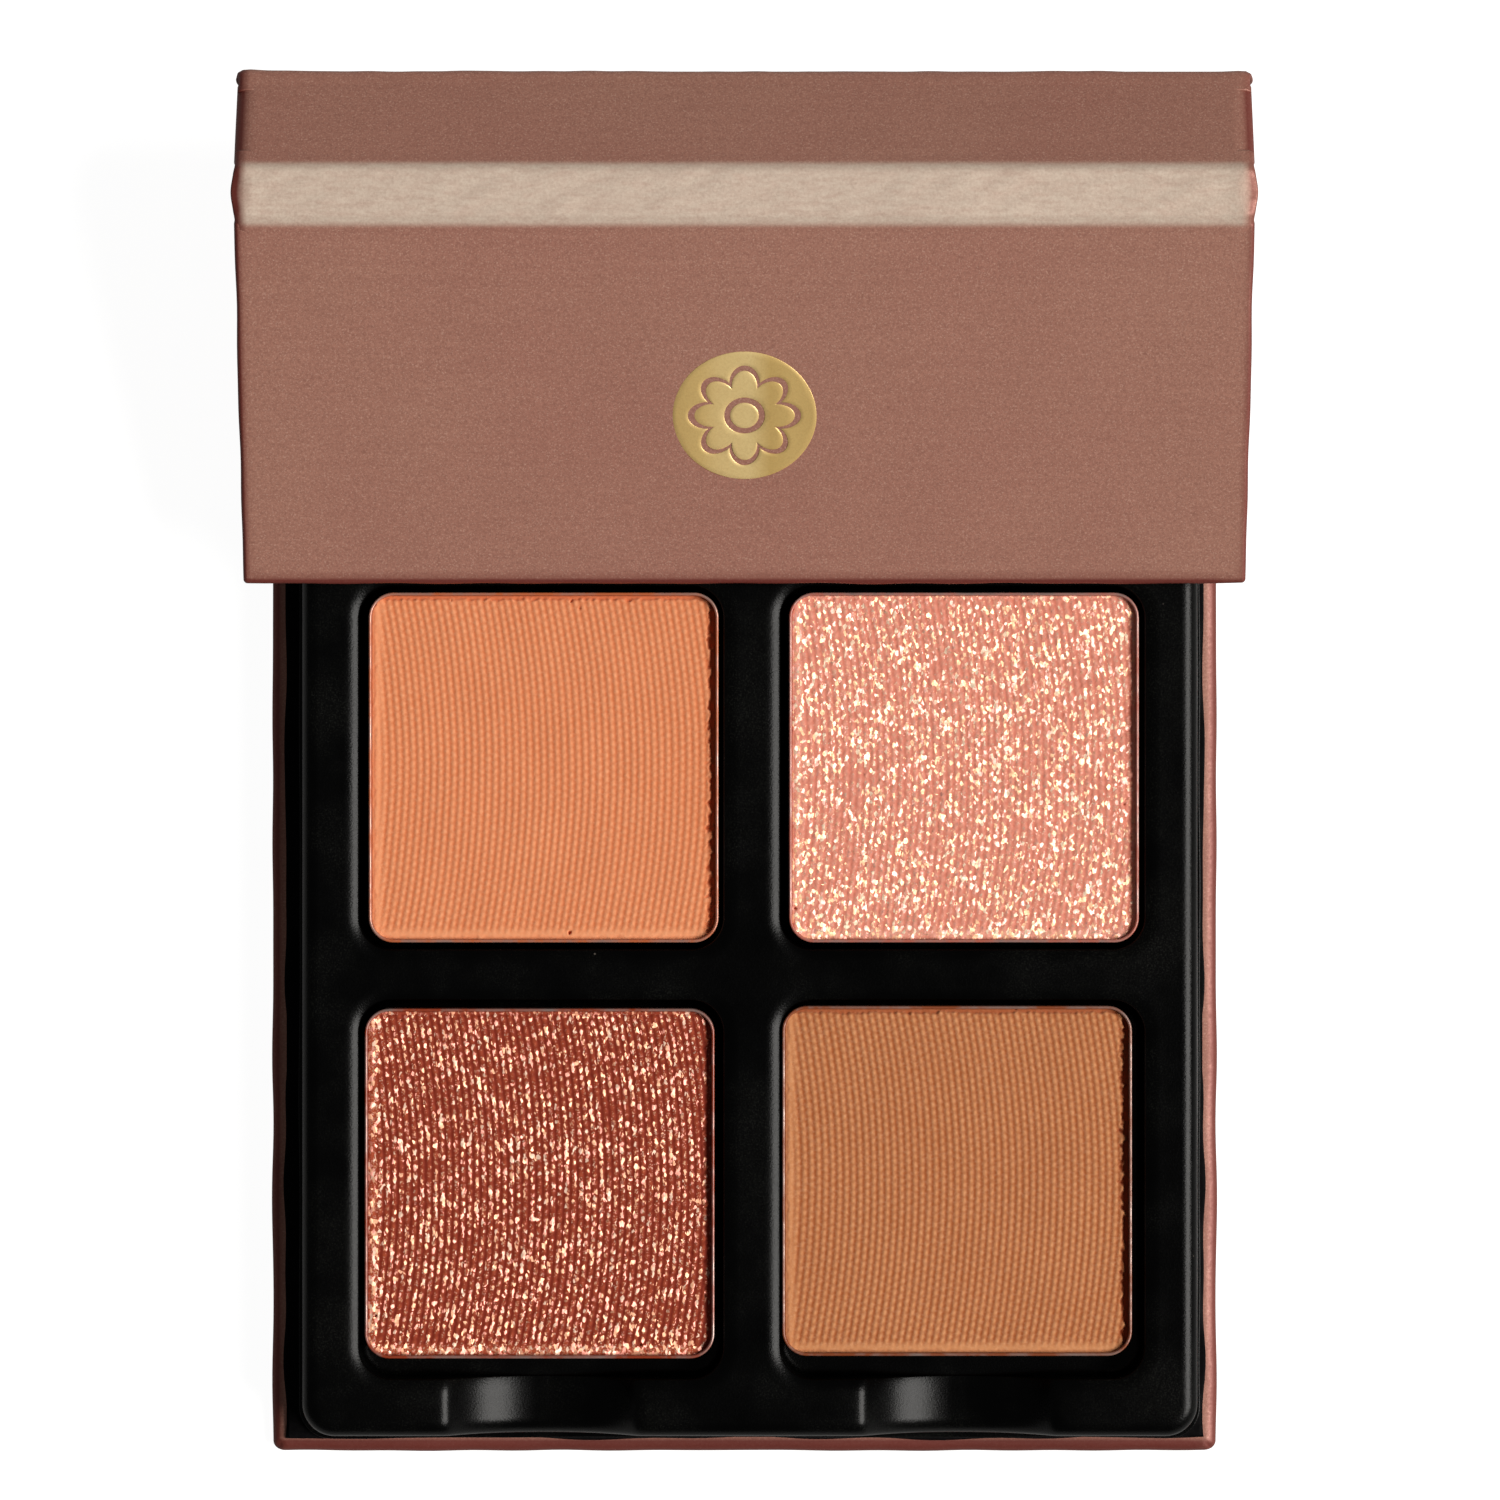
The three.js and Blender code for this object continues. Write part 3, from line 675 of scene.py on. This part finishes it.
def bent_path(corners, radius, step=0.12):
    """Points and tangents along a path in the YZ plane whose inner corners are rounded."""
    points = [np.array(c, float) for c in corners]
    starts, ends, turns = [points[0]], [], []
    for before, here, after in zip(points, points[1:], points[2:]):
        into = (here - before) / np.linalg.norm(here - before)
        out = (after - here) / np.linalg.norm(after - here)
        turn = math.atan2(into[0] * out[1] - into[1] * out[0], into @ out)
        reach = radius * math.tan(abs(turn) / 2)
        ends.append(here - into * reach)
        turns.append(turn)
        starts.append(here + out * reach)
    ends.append(points[-1])
    turns.append(0.0)
    path, tangents = [], []
    for start, end, turn in zip(starts, ends, turns):
        length = np.linalg.norm(end - start)
        way = (end - start) / length
        count = max(2, round(length / step))
        for i in range(count):
            path.append(start + way * length * i / count)
            tangents.append(way)
        if not turn:
            path.append(end)
            tangents.append(way)
            continue
        centre = end + np.array([-way[1], way[0]]) * math.copysign(radius, turn)
        arcs = max(3, round(abs(turn) * radius / step))
        for i in range(arcs):
            c, s = math.cos(turn * i / arcs), math.sin(turn * i / arcs)
            spin = np.array([[c, -s], [s, c]])
            path.append(centre + spin @ (end - centre))
            tangents.append(spin @ way)
    return np.array(path), np.array(tangents)


def crease_skin(
    name, corners, radius, half_x, replaces, seed,
    ear=0.0, lift=0.05, painted_highlight=0.0, worn=0.0,
):
    """Paper carried over a crease and bent with it: pearl paper outside, lining inside.

    corners is the path across the crease. ear is how far the skin's two sides stand out, lift how
    high it puckers, shine the strength of the painted highlight laid on the crease as a pale
    colour, and worn how red its middle line is.
    """
    path, tangents = bent_path(corners, radius)
    normals = np.stack([-tangents[:, 1], tangents[:, 0]], 1)
    run = np.concatenate([[0], np.cumsum(np.linalg.norm(np.diff(path, axis=0), axis=1))])
    middle = run[-1] / 2
    from_middle = np.abs(run - middle)
    from_end = middle - from_middle
    inside = smoothstep(from_end, 0.2, 2.0)[None, :]
    across, turn = rounded_axis(-half_x, half_x, SKIN / 2, 0.55, steps=3)
    x = across[:, None] + (SKIN / 2) * np.sin(turn)[:, None]
    swell = ear * np.exp(-(((run - middle) / 1.2) ** 2))
    swell -= 0.25 * ear * np.exp(-(((from_middle - 2.4) / 0.7) ** 2))
    end_share = smoothstep(np.abs(x), half_x - 2.5, half_x)
    x = x + np.sign(x) * end_share * swell[None, :]
    along = np.broadcast_to(run, x.shape)
    pucker = waves(x * 0.35, along, seed, 6) + 0.5 * waves(x, along * 2, seed + 1, 3.4)
    rise = np.maximum(lift * inside * (pucker + 0.35), 0) + 0.35 * ear * end_share * inside
    droop = SKIN_DROOP * smoothstep(np.abs(x), half_x - SKIN_DROOP_WIDTH, half_x) ** 2
    half = SKIN / 2 * (1 - np.cos(turn))[:, None] + droop
    dive = SKIN_DIVE * (1 - smoothstep(from_end, 0.0, SKIN_DIVE_LENGTH))[None, :]

    def layer(w):
        yz = path[None] + normals[None] * w[..., None]
        return np.concatenate([x[..., None], yz], -1)

    outer = layer(-SKIN_PROUD + half - rise + dive)
    inner = layer(np.maximum(SKIN - half - rise + 2 * droop, 2 * SKIN_DIVE))
    points, outside, inside_faces = closed_sheet(outer, inner)
    turned_in = np.abs(points[inside_faces].mean(1)[:, 0]) > half_x - LINING_MARGIN
    # Painted shade mixed with wear along the sides, lighter on the +x side that faces the key.
    wear_and_shade = np.exp(-np.clip(half_x - np.abs(x) - 0.3, 0, None) / WEAR_AND_SHADE_REACH)
    wear_and_shade = wear_and_shade * (1 - 0.35 * smoothstep(x, half_x - 3, half_x - 1))
    wear_and_shade = np.maximum(wear_and_shade, worn * np.exp(-(((run - middle) / 0.5) ** 2))[None, :])
    # Painted highlight: a pale band along the middle of the crease, fading towards the sides.
    band = smoothstep(middle + 0.12 - np.abs(run - middle - 0.12), 0.95, 1.6)[None, :]
    crease = painted_highlight * band * (1 - smoothstep(np.abs(x), half_x - 1.1, half_x - 0.3))
    attributes = {
        "wear_and_shade": np.concatenate([wear_and_shade.ravel(), wear_and_shade.ravel()]),
        "crease": np.concatenate([crease.ravel(), crease.ravel()]),
    }
    faces = [outside, inside_faces[turned_in], inside_faces[~turned_in]]
    made = mesh_object(name, points, faces, attributes, face_slots=[0, 0, 1])
    finish_piece(made, [paper, lining], replaces)
    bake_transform(made)


PAST_CREASE = PANEL_END_GAP + SKIN_OVERLAP

crease_skin(
    "base_crease_skin",
    [base_face.at(BASE_LENGTH - SKIN_OVERLAP), spine_face.start, spine_face.at(PAST_CREASE)],
    0.45, BASE_HALF_WIDTH,
    ["base_crease_strip"], 301, painted_highlight=0.08,
)
crease_skin(
    "spine_crease_skin",
    [spine_face.at(SPINE_LENGTH - SPINE_TOP_GAP - SKIN_OVERLAP), rear_face.start,
     rear_face.at(REAR_START_GAP + SKIN_OVERLAP)],
    0.4, LID_HALF_WIDTH,
    ["spine_crease_strip", "rear_crease_strip"], 311, painted_highlight=0.08,
)
crease_skin(
    "rear_fold_skin",
    [rear_face.at(REAR_LENGTH - PAST_CREASE), rear_strip.start, fold_face.start,
     fold_face.at(PAST_CREASE)],
    0.7, LID_HALF_WIDTH,
    ["rear_fold_strip_lower", "rear_fold_strip_upper"], 321, ear=0.25, worn=0.7,
)
crease_skin(
    "front_fold_skin",
    [fold_face.at(FOLD_LENGTH - PAST_CREASE), ridge_strip.start, front_face.start,
     front_face.at(PAST_CREASE)],
    0.9, LID_HALF_WIDTH,
    ["front_fold_strip_rear", "front_fold_strip_front"], 331,
    ear=0.24, lift=0.035, painted_highlight=1.0,
)


# ---- Emblem -------------------------------------------------------------------------------------


def emblem():
    """A gold foil oval with an eight-petalled outline and a small circle left open in it."""
    petals, outline, angles = 8, 0.08, 240
    around = np.linspace(0, 2 * math.pi, angles, endpoint=False)
    rosette = 0.46 + 0.24 * np.abs(np.cos(petals / 2 * around)) ** 0.8
    one = np.ones(angles)
    bands = [
        (one, rosette + outline, True),
        (rosette, 0.2 * one + outline, True),
        (0.2 * one, 0.02 * one, False),
    ]
    points, faces, first = [], [], 0
    for outer_edge, inner_edge, is_open in bands:
        profile = [(0, 0.0), (0, 0.6), (0.03, 1.0), (0.25, 1.0), (0.5, 1.0), (0.75, 1.0)]
        if is_open:
            profile += [(0.97, 1.0), (1, 0.6), (1, 0.0)]
        rings = []
        for share, height in profile:
            r = outer_edge + (inner_edge - outer_edge) * share
            x = EMBLEM_HALF[0] * r * np.cos(around)
            u = EMBLEM_FROM_CREASE + EMBLEM_HALF[1] * r * np.sin(around)
            rings.append(front_face.place(x, u, EMBLEM_BACK - EMBLEM_RISE * height * one))
        points.append(np.concatenate(rings))
        faces.append(ring_quads(len(rings), angles, first))
        back = np.arange(angles)
        after = (back + 1) % angles
        last = (len(rings) - 1) * angles
        if is_open:
            faces.append(np.stack([back, back + last, after + last, after], 1) + first)
        else:
            faces += [back[None, ::-1] + first, back[None, :] + last + first]
        first += len(rings) * angles
    made = mesh_object("emblem_foil", np.concatenate(points), faces)
    finish_piece(made, [gold_foil()], ["foil_emblem"], "front_panel")


emblem()


# ---- Tray ---------------------------------------------------------------------------------------

tray_low, tray_high = (np.array(corner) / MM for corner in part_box("tray"))
TRAY_X = (tray_low[0] + tray_high[0]) / 2
TRAY_BOTTOM = tray_low[2]
TRAY_TOP = tray_high[2]


def rounded_ring(half_x, half_y, radius, side_x, side_y, corner):
    """A rounded rectangle, anticlockwise, with so many cells along its sides and its corners."""
    x, y = half_x - radius, half_y - radius
    sides = [
        ((half_x, -y), (half_x, y), side_y),
        ((x, half_y), (-x, half_y), side_x),
        ((-half_x, y), (-half_x, -y), side_y),
        ((-x, -half_y), (x, -half_y), side_x),
    ]
    centres = [(x, y), (-x, y), (-x, -y), (x, -y)]
    points = []
    for number, ((x0, y0), (x1, y1), cells) in enumerate(sides):
        share = np.arange(cells) / cells
        points.append(np.stack([x0 + (x1 - x0) * share, y0 + (y1 - y0) * share], 1))
        turn = (number + np.arange(corner) / corner) * math.pi / 2
        arc = np.stack([np.cos(turn), np.sin(turn)], 1) * radius
        points.append(arc + np.array(centres[number]))
    return np.concatenate(points)


def notch_drop(x):
    """How far the front margin sinks at x: a round scoop at each column, with softened edges."""
    drop = np.zeros_like(x)
    for column in NOTCH_CENTRES:
        off = np.clip(np.abs(x - column), 0, NOTCH_RADIUS - 0.01)
        scoop = np.sqrt(NOTCH_RADIUS**2 - off**2) - (NOTCH_RADIUS - NOTCH_DEPTH)
        soft = 0.5 * (scoop + np.sqrt(scoop**2 + NOTCH_EDGE**2))
        far = smoothstep(np.abs(x - column), NOTCH_RADIUS - 0.4, NOTCH_RADIUS + 1.2)
        drop = drop + soft * (1 - far)
    return np.clip(drop, 0, NOTCH_DEPTH)


def tray_outside():
    """Rings of points up the outside: the wavy flange, the foot, the wall and the rounded edge."""
    flange_top = TRAY_BOTTOM + FLANGE_THICKNESS
    foot_top = flange_top + 0.15
    shoulder = TRAY_TOP - TRAY_EDGE_ROUND
    flange = [
        (TRAY_FLANGE_HALF, 0.0, TRAY_BOTTOM),
        (TRAY_FLANGE_HALF, 0.0, flange_top - 0.06),
        (TRAY_FLANGE_HALF, -0.05, flange_top),
        (TRAY_FLANGE_HALF, -0.1, flange_top),
        (TRAY_FOOT_HALF, 0.12, flange_top),
    ]
    levels = [*flange, (TRAY_FOOT_HALF, 0.0, foot_top)]
    for share in (0.25, 0.5, 0.75, 1.0):
        half = tuple(a + (b - a) * share for a, b in zip(TRAY_FOOT_HALF, TRAY_WALL_HALF))
        levels.append((half, 0.0, foot_top + (shoulder - foot_top) * share))
    for turn in np.linspace(0, math.pi / 2, 9)[1:]:
        out = TRAY_EDGE_ROUND * (math.cos(turn) - 1)
        levels.append((TRAY_WALL_HALF, out, shoulder + TRAY_EDGE_ROUND * math.sin(turn)))
    levels.append((TRAY_WALL_HALF, -TRAY_EDGE_ROUND - 0.1, TRAY_TOP))
    rings = []
    for number, (half, out, z) in enumerate(levels):
        ring = rounded_ring(half[0] + out, half[1] + out, TRAY_CORNER + out, 260, 120, 14)
        sag = np.zeros(len(ring))
        if number < len(flange):
            ring = ring * (1 + 0.0016 * waves(ring[:, :1], ring[:, 1:], 71, 17))
            sag = 0.07 * (waves(ring[:, 0], ring[:, 1], 72, 21) + 1)
        ring[:, 0] += TRAY_X
        front = ring[:, 1] < -TRAY_WALL_HALF[1] / 2
        share = min(1, max(0, (z - foot_top) / (shoulder - foot_top)))
        drop = notch_drop(ring[:, 0]) * front * share
        rings.append(np.column_stack([ring, z - drop + sag]))
    return rings


def pocket_levels():
    """Steps down a pocket, as how far out of its wall and how high: rim, wall, rounded floor."""
    sine, cosine = math.sin(RIM_BREAK_ANGLE), math.cos(RIM_BREAK_ANGLE)
    slope_start = RIM_BREAK * (1 - sine) + RIM_SLOPE * sine
    break_top = TRAY_TOP - RIM_SLOPE * (1 - cosine)
    levels = [(slope_start + 0.1, TRAY_TOP)]
    for turn in np.linspace(0, RIM_BREAK_ANGLE, 6):
        out = slope_start - RIM_SLOPE * math.sin(turn)
        levels.append((out, TRAY_TOP - RIM_SLOPE * (1 - math.cos(turn))))
    for turn in np.linspace(RIM_BREAK_ANGLE, math.pi / 2, 5)[1:]:
        down = RIM_BREAK * (cosine - math.cos(turn))
        levels.append((RIM_BREAK * (1 - math.sin(turn)), break_top - down))
    low = POCKET_FLOOR + POCKET_FLOOR_ROUND
    levels += [(0, (break_top - RIM_BREAK + low) / 2), (0, low)]
    for turn in np.linspace(0, math.pi / 2, 5)[1:]:
        out = POCKET_FLOOR_ROUND * (math.cos(turn) - 1)
        levels.append((out, low - POCKET_FLOOR_ROUND * math.sin(turn)))
    levels.append((-1.5, POCKET_FLOOR))
    return levels


def tray_top(points, edge_rings, holes):
    """Triangles of the flat top, between the tray's outer edge and the pockets' rims."""

    def in_hole(p):
        for x, y, half_x, half_y, radius in holes:
            dx = max(abs(p[0] - x) - (half_x - radius), 0)
            dy = max(abs(p[1] - y) - (half_y - radius), 0)
            if math.hypot(dx, dy) < radius - 1e-4:
                return True
        return False

    used = np.concatenate(edge_rings)
    edges, start = [], 0
    for ring in edge_rings:
        edges += [(start + i, start + (i + 1) % len(ring)) for i in range(len(ring))]
        start += len(ring)
    flat = [Vector(p) for p in points[used][:, :2]]
    found, _, triangles, origins, _, _ = delaunay_2d_cdt(flat, edges, [], 1, 1e-6)
    back = [used[o[0]] for o in origins]
    kept = []
    for corners in triangles:
        middle = sum((found[c] for c in corners), Vector((0, 0))) / len(corners)
        if len(corners) == 3 and not in_hole(middle):
            kept.append([back[c] for c in corners])
    return np.array(kept)


def tray():
    """The thermoformed tray as one sheet: outside, flat top and four pockets with closed floors."""
    rings = tray_outside()
    count = len(rings[0])
    points = [np.concatenate(rings)]
    faces = [ring_quads(len(rings), count)]
    first = len(rings) * count
    edge_rings = [np.arange(first - count, first)]
    levels = pocket_levels()
    reach = levels[0][0]
    corner = PAN_CORNER + POCKET_GAP
    holes, floors = [], []
    for row, y in ROWS.items():
        front_gap = FINGER_GAP if row == "front" else POCKET_GAP
        half = (PAN_HALF + POCKET_GAP, PAN_HALF + (POCKET_GAP + front_gap) / 2)
        centre_y = y - (front_gap - POCKET_GAP) / 2
        for x in COLUMNS.values():
            pocket = []
            for out, z in levels:
                ring = rounded_ring(half[0] + out, half[1] + out, corner + out, 104, 60, 12)
                ring = ring + np.array([x, centre_y])
                front = (ring[:, 1] < -TRAY_WALL_HALF[1] / 2) & (row == "front")
                share = (z - POCKET_FLOOR) / (TRAY_TOP - POCKET_FLOOR)
                drop = notch_drop(ring[:, 0]) * front * share
                pocket.append(np.column_stack([ring, z - drop]))
            count = len(pocket[0])
            points.append(np.concatenate(pocket))
            faces.append(ring_quads(len(pocket), count, first))
            edge_rings.append(np.arange(first, first + count))
            first += len(pocket) * count
            floors.append(np.arange(first - count, first)[None, :])
            holes.append((x, centre_y, half[0] + reach, half[1] + reach, corner + reach))
    points = np.concatenate(points)
    top = tray_top(points, edge_rings, holes)
    made = mesh_object("tray_shell", points, [*faces, top, *floors])
    thick = made.modifiers.new("sheet", "SOLIDIFY")
    thick.thickness = TRAY_SHELL * MM
    thick.offset = -1
    finish_piece(made, [tray_plastic()], ["tray"], "base")


tray()


# ---- Pans and powder ----------------------------------------------------------------------------


def pan(place, centre, low, high, metal):
    """A pressed metal cup: outside, a rounded and slightly uneven lip, and inside."""
    lip_radius = PAN_WALL / 2
    lip_low = high - lip_radius
    outside = [(1.5, low), (0.5, low), (0.15, low + 0.15), (0, low + 0.5)]
    lip = [(0, lip_low)]
    for turn in np.linspace(0, math.pi, 7)[1:-1]:
        lip.append((lip_radius * (1 - math.cos(turn)), lip_low + lip_radius * math.sin(turn)))
    lip.append((PAN_WALL, lip_low))
    inside = [(PAN_WALL, low + 1.2), (PAN_WALL + 0.1, low + 0.6),
              (PAN_WALL + 0.5, low + PAN_WALL), (2.0, low + PAN_WALL)]
    rings = []
    for inset, z in outside + lip + inside:
        half = PAN_HALF - inset
        ring = rounded_ring(half, half, max(PAN_CORNER - inset, 0.2), 30, 30, 12)
        rings.append(np.column_stack([ring + centre, np.full(len(ring), z)]))
    rings = np.array(rings)
    uneven = rings[len(outside):len(outside) + len(lip)]
    uneven[:, :, 2] += 0.035 * waves(uneven[:, :, 0], uneven[:, :, 1], 91, 11)
    count = rings.shape[1]
    first_cap = np.arange(count)[None, ::-1]
    last_cap = np.arange((len(rings) - 1) * count, len(rings) * count)[None, :]
    faces = [ring_quads(len(rings), count), first_cap, last_cap]
    made = mesh_object("pan_cup_" + place, rings.reshape(-1, 3), faces)
    finish_piece(made, [metal], ["pan_" + place], "base")


def press_marks(x, y, seed, regular):
    """Woven press marks, 0 in the grooves to 1 on the crests: beaded ribs that bow a little."""
    drift = 0.05 * waves(x, y, seed, 12)
    across = (x + RIB_BOW * y**2) / RIB_PITCH + drift
    along = y / BEAD_PITCH
    rib = 0.5 + 0.5 * np.cos(2 * math.pi * across)
    bead = 0.5 + 0.5 * np.cos(2 * math.pi * (along + 0.5 * np.round(across)))
    woven = rib**0.8 * (0.5 + 0.5 * bead)
    rough = 0.5 + 0.25 * waves(x, y, seed + 1, 0.55, 12)
    return np.clip(regular * woven + (1 - regular) * rough, 0, 1)


def cake_grid(half, corner):
    """A square grid of points, its corners squeezed round, and each point's distance inwards."""
    line = np.linspace(-1, 1, POWDER_GRID)
    line = line * (1 - 0.02 * (1 - line**2)) * half
    x, y = np.meshgrid(line, line, indexing="ij")
    past_x = np.clip(np.abs(x) - (half - corner), 0, None)
    past_y = np.clip(np.abs(y) - (half - corner), 0, None)
    furthest = np.maximum(past_x, past_y)
    length = np.hypot(past_x, past_y)
    squeeze = np.where(length > 1e-9, furthest / np.maximum(length, 1e-9), 1)
    from_edge = np.minimum(half - np.abs(x), half - np.abs(y))
    from_edge = np.where((past_x > 0) & (past_y > 0), corner - furthest, from_edge)
    x = np.sign(x) * (np.minimum(np.abs(x), half - corner) + past_x * squeeze)
    y = np.sign(y) * (np.minimum(np.abs(y), half - corner) + past_y * squeeze)
    return x, y, from_edge


def powder(place, low, high, seed, material, regular, raw):
    """The pressed cake: its press marks, crumbled edges and pits are all in the mesh.

    regular is how even the press marks are, and raw how far the right and rear edges have gone;
    that gap also takes a dark colour as a painted shadow of the pan's rim.
    """
    half = PAN_HALF - PAN_WALL - POWDER_GAP
    x, y, from_edge = cake_grid(half, PAN_CORNER - 0.3)
    right, rear = half - x, half - y
    left_front = np.minimum(half + x, half + y)
    draw = np.random.default_rng(seed + 9)
    crisp = smoothstep(left_front, 0.3, 1.0) * smoothstep(np.minimum(right, rear), 0.1, 0.35)
    marks = 1 - (1 - press_marks(x, y, seed, regular)) * (0.15 + 0.85 * crisp)
    ragged = 0.14 * waves(x, y, seed + 3, 1.3, 10) + 0.09 * waves(x, y, seed + 4, 0.5, 10)
    gap = raw * np.maximum(
        1 - smoothstep(right + ragged, 0.28, 0.62),
        0.55 * (1 - smoothstep(rear + 0.35 * ragged, 0.2, 0.38)),
    )
    chips = 0.35 * (1 - smoothstep(left_front + 0.4 * ragged, 0.05, 0.32))
    pits = smoothstep(waves(x, y, seed + 5, 0.8, 12), 1.95, 2.4)
    pits *= 1 - smoothstep(from_edge, 0.4, 1.6)
    # The dark edge colour covers the raw gap as a painted shadow of the rim, the crumbled chips,
    # and the pits as painted shade.
    crumb_and_shade = np.clip(gap + 0.5 * chips + 0.8 * pits, 0, 1)
    height = RIB_DEPTH * (marks - 1) + 0.02 * waves(x, y, seed + 2, 7)
    height += (0.006 + 0.014 * (1 - regular)) * draw.standard_normal(x.shape)
    height -= 0.32 * gap + 0.2 * chips + 0.3 * pits

    centre = (low + high) / 2
    top = np.stack([x + centre[0], y + centre[1], high[2] - POWDER_DOWN + height], -1)
    top = top.reshape(-1, 3)
    border = grid_border(POWDER_GRID, POWDER_GRID)
    wall = top[border]
    wall[:, 2] = low[2] + 0.3
    foot = wall.copy()
    foot[:, :2] = centre[:2] + (foot[:, :2] - centre[:2]) * 0.97
    foot[:, 2] = low[2]
    wall_numbers = len(top) + np.arange(len(border))
    foot_numbers = wall_numbers + len(border)
    faces = [grid_quads(POWDER_GRID, POWDER_GRID)]
    for above, below in ((border, wall_numbers), (wall_numbers, foot_numbers)):
        faces.append(np.stack([below, np.roll(below, -1), np.roll(above, -1), above], 1))
    faces.append(foot_numbers[None, :])
    rest = np.zeros(2 * len(border))
    attributes = {
        "relief": np.concatenate([(marks * (1 - crumb_and_shade)).ravel(), rest]),
        "crumb_and_shade": np.concatenate([crumb_and_shade.ravel(), rest + 1]),
    }
    points = np.concatenate([top, wall, foot])
    made = mesh_object("powder_cake_" + place, points, faces, attributes)
    finish_piece(made, [material], ["powder_" + place], "base")


# Colours of the shining flakes: partly their own pale colour, partly painted glint.
GOLD_GLINTS = (rgb(255, 202, 160), rgb(250, 186, 170), rgb(255, 226, 196))
COPPER_GLINTS = (rgb(244, 182, 146), rgb(236, 160, 142), rgb(255, 216, 190))
# Each powder's colours: crest, groove darkened as painted shade, and raw edge, partly a painted
# shadow of the rim.
PEACH = matt_powder("peach", rgb(232, 152, 107), rgb(202, 110, 66), rgb(190, 84, 44))
PINK_GOLD = shimmer_powder(
    "pink_gold", rgb(237, 165, 143), rgb(213, 121, 99), rgb(196, 96, 70),
    GOLD_GLINTS, share=0.3, crest_glints=0.24,
)
COPPER = shimmer_powder(
    "copper", rgb(180, 82, 52), rgb(112, 24, 8), rgb(120, 34, 16),
    COPPER_GLINTS, share=0.3, crest_glints=0.4,
)
CARAMEL = matt_powder("caramel", rgb(205, 139, 92), rgb(155, 80, 38), rgb(150, 62, 28))

# For each pan: the cake's slot and material, its dust on the metal, regular and raw.
FINISHES = {
    "rear_left": ("powder_peach", PEACH, rgb(176, 92, 54), 1.0, 1.0),
    "rear_right": ("powder_pink_gold", PINK_GOLD, rgb(170, 92, 76), 0.7, 0.35),
    "front_left": ("powder_copper", COPPER, rgb(136, 52, 26), 0.85, 0.5),
    "front_right": ("powder_caramel", CARAMEL, rgb(128, 64, 34), 1.0, 1.0),
}

for number, (place, (slot, material, dust, regular, raw)) in enumerate(FINISHES.items()):
    low, high = (np.array(corner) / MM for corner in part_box("pan_" + place))
    metal = pan_metal("pan_metal_" + material.name, dust)
    pan(place, (low[:2] + high[:2]) / 2, low[2], high[2], metal)
    low, high = (np.array(corner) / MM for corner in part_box("powder_" + place))
    powder(place, low, high, 400 + 20 * number, material, regular, raw)


# ---- Carried-over nodes -------------------------------------------------------------------------

magnet = plain_parts("magnet_plating", rgb(150, 152, 156), rgb(186, 188, 190), 1.0, 0.35)
foam = plain_parts("pad_foam", rgb(216, 212, 200), rgb(236, 233, 224), 0.0, 0.85)
for name, node in frame["nodes"].items():
    if "magnet" in name or name.startswith("pan_pad_"):
        node.data.materials.clear()
        node.data.materials.append(magnet if "magnet" in name else foam)


# ---- Floor, light and camera --------------------------------------------------------------------


def floor():
    """A plain level floor just under the palette."""
    mesh = bpy.data.meshes.new("floor")
    half = FLOOR_SIZE / 2
    corners = [(-half, -half, 0), (half, -half, 0), (half, half, 0), (-half, half, 0)]
    mesh.from_pydata(corners, [], [(0, 1, 2, 3)])
    made = bpy.data.objects.new("floor", mesh)
    made.location.z = -FLOOR_DROP
    made.data.materials.append(floor_material())
    bpy.context.scene.collection.objects.link(made)


def lights():
    """A broad key from the right, as soft as a large lamp, and a weak even fill."""
    lamp = bpy.data.lights.new("key", "SUN")
    lamp.energy = KEY_STRENGTH
    lamp.angle = KEY_SPREAD
    lamp.color = KEY_COLOUR
    key = bpy.data.objects.new("key", lamp)
    toward = Vector((
        math.sin(KEY_TILT) * math.cos(KEY_HEADING),
        math.sin(KEY_TILT) * math.sin(KEY_HEADING),
        math.cos(KEY_TILT),
    ))
    key.rotation_euler = toward.to_track_quat("Z", "Y").to_euler()
    bpy.context.scene.collection.objects.link(key)
    world = bpy.data.worlds.new("studio")
    world.use_nodes = True
    background = world.node_tree.nodes["Background"]
    background.inputs["Color"].default_value = (1, 1, 1, 1)
    background.inputs["Strength"].default_value = WORLD_STRENGTH
    bpy.context.scene.world = world


def camera():
    """A long lens straight above the palette."""
    data = bpy.data.cameras.new("camera")
    data.lens = CAMERA_LENS
    data.sensor_width = CAMERA_SENSOR
    data.clip_start = 0.01
    data.clip_end = 10
    made = bpy.data.objects.new("camera", data)
    made.location = CAMERA_PLACE
    bpy.context.scene.collection.objects.link(made)
    bpy.context.scene.camera = made


floor()
lights()
camera()
bpy.context.scene.view_settings.view_transform = "Standard"
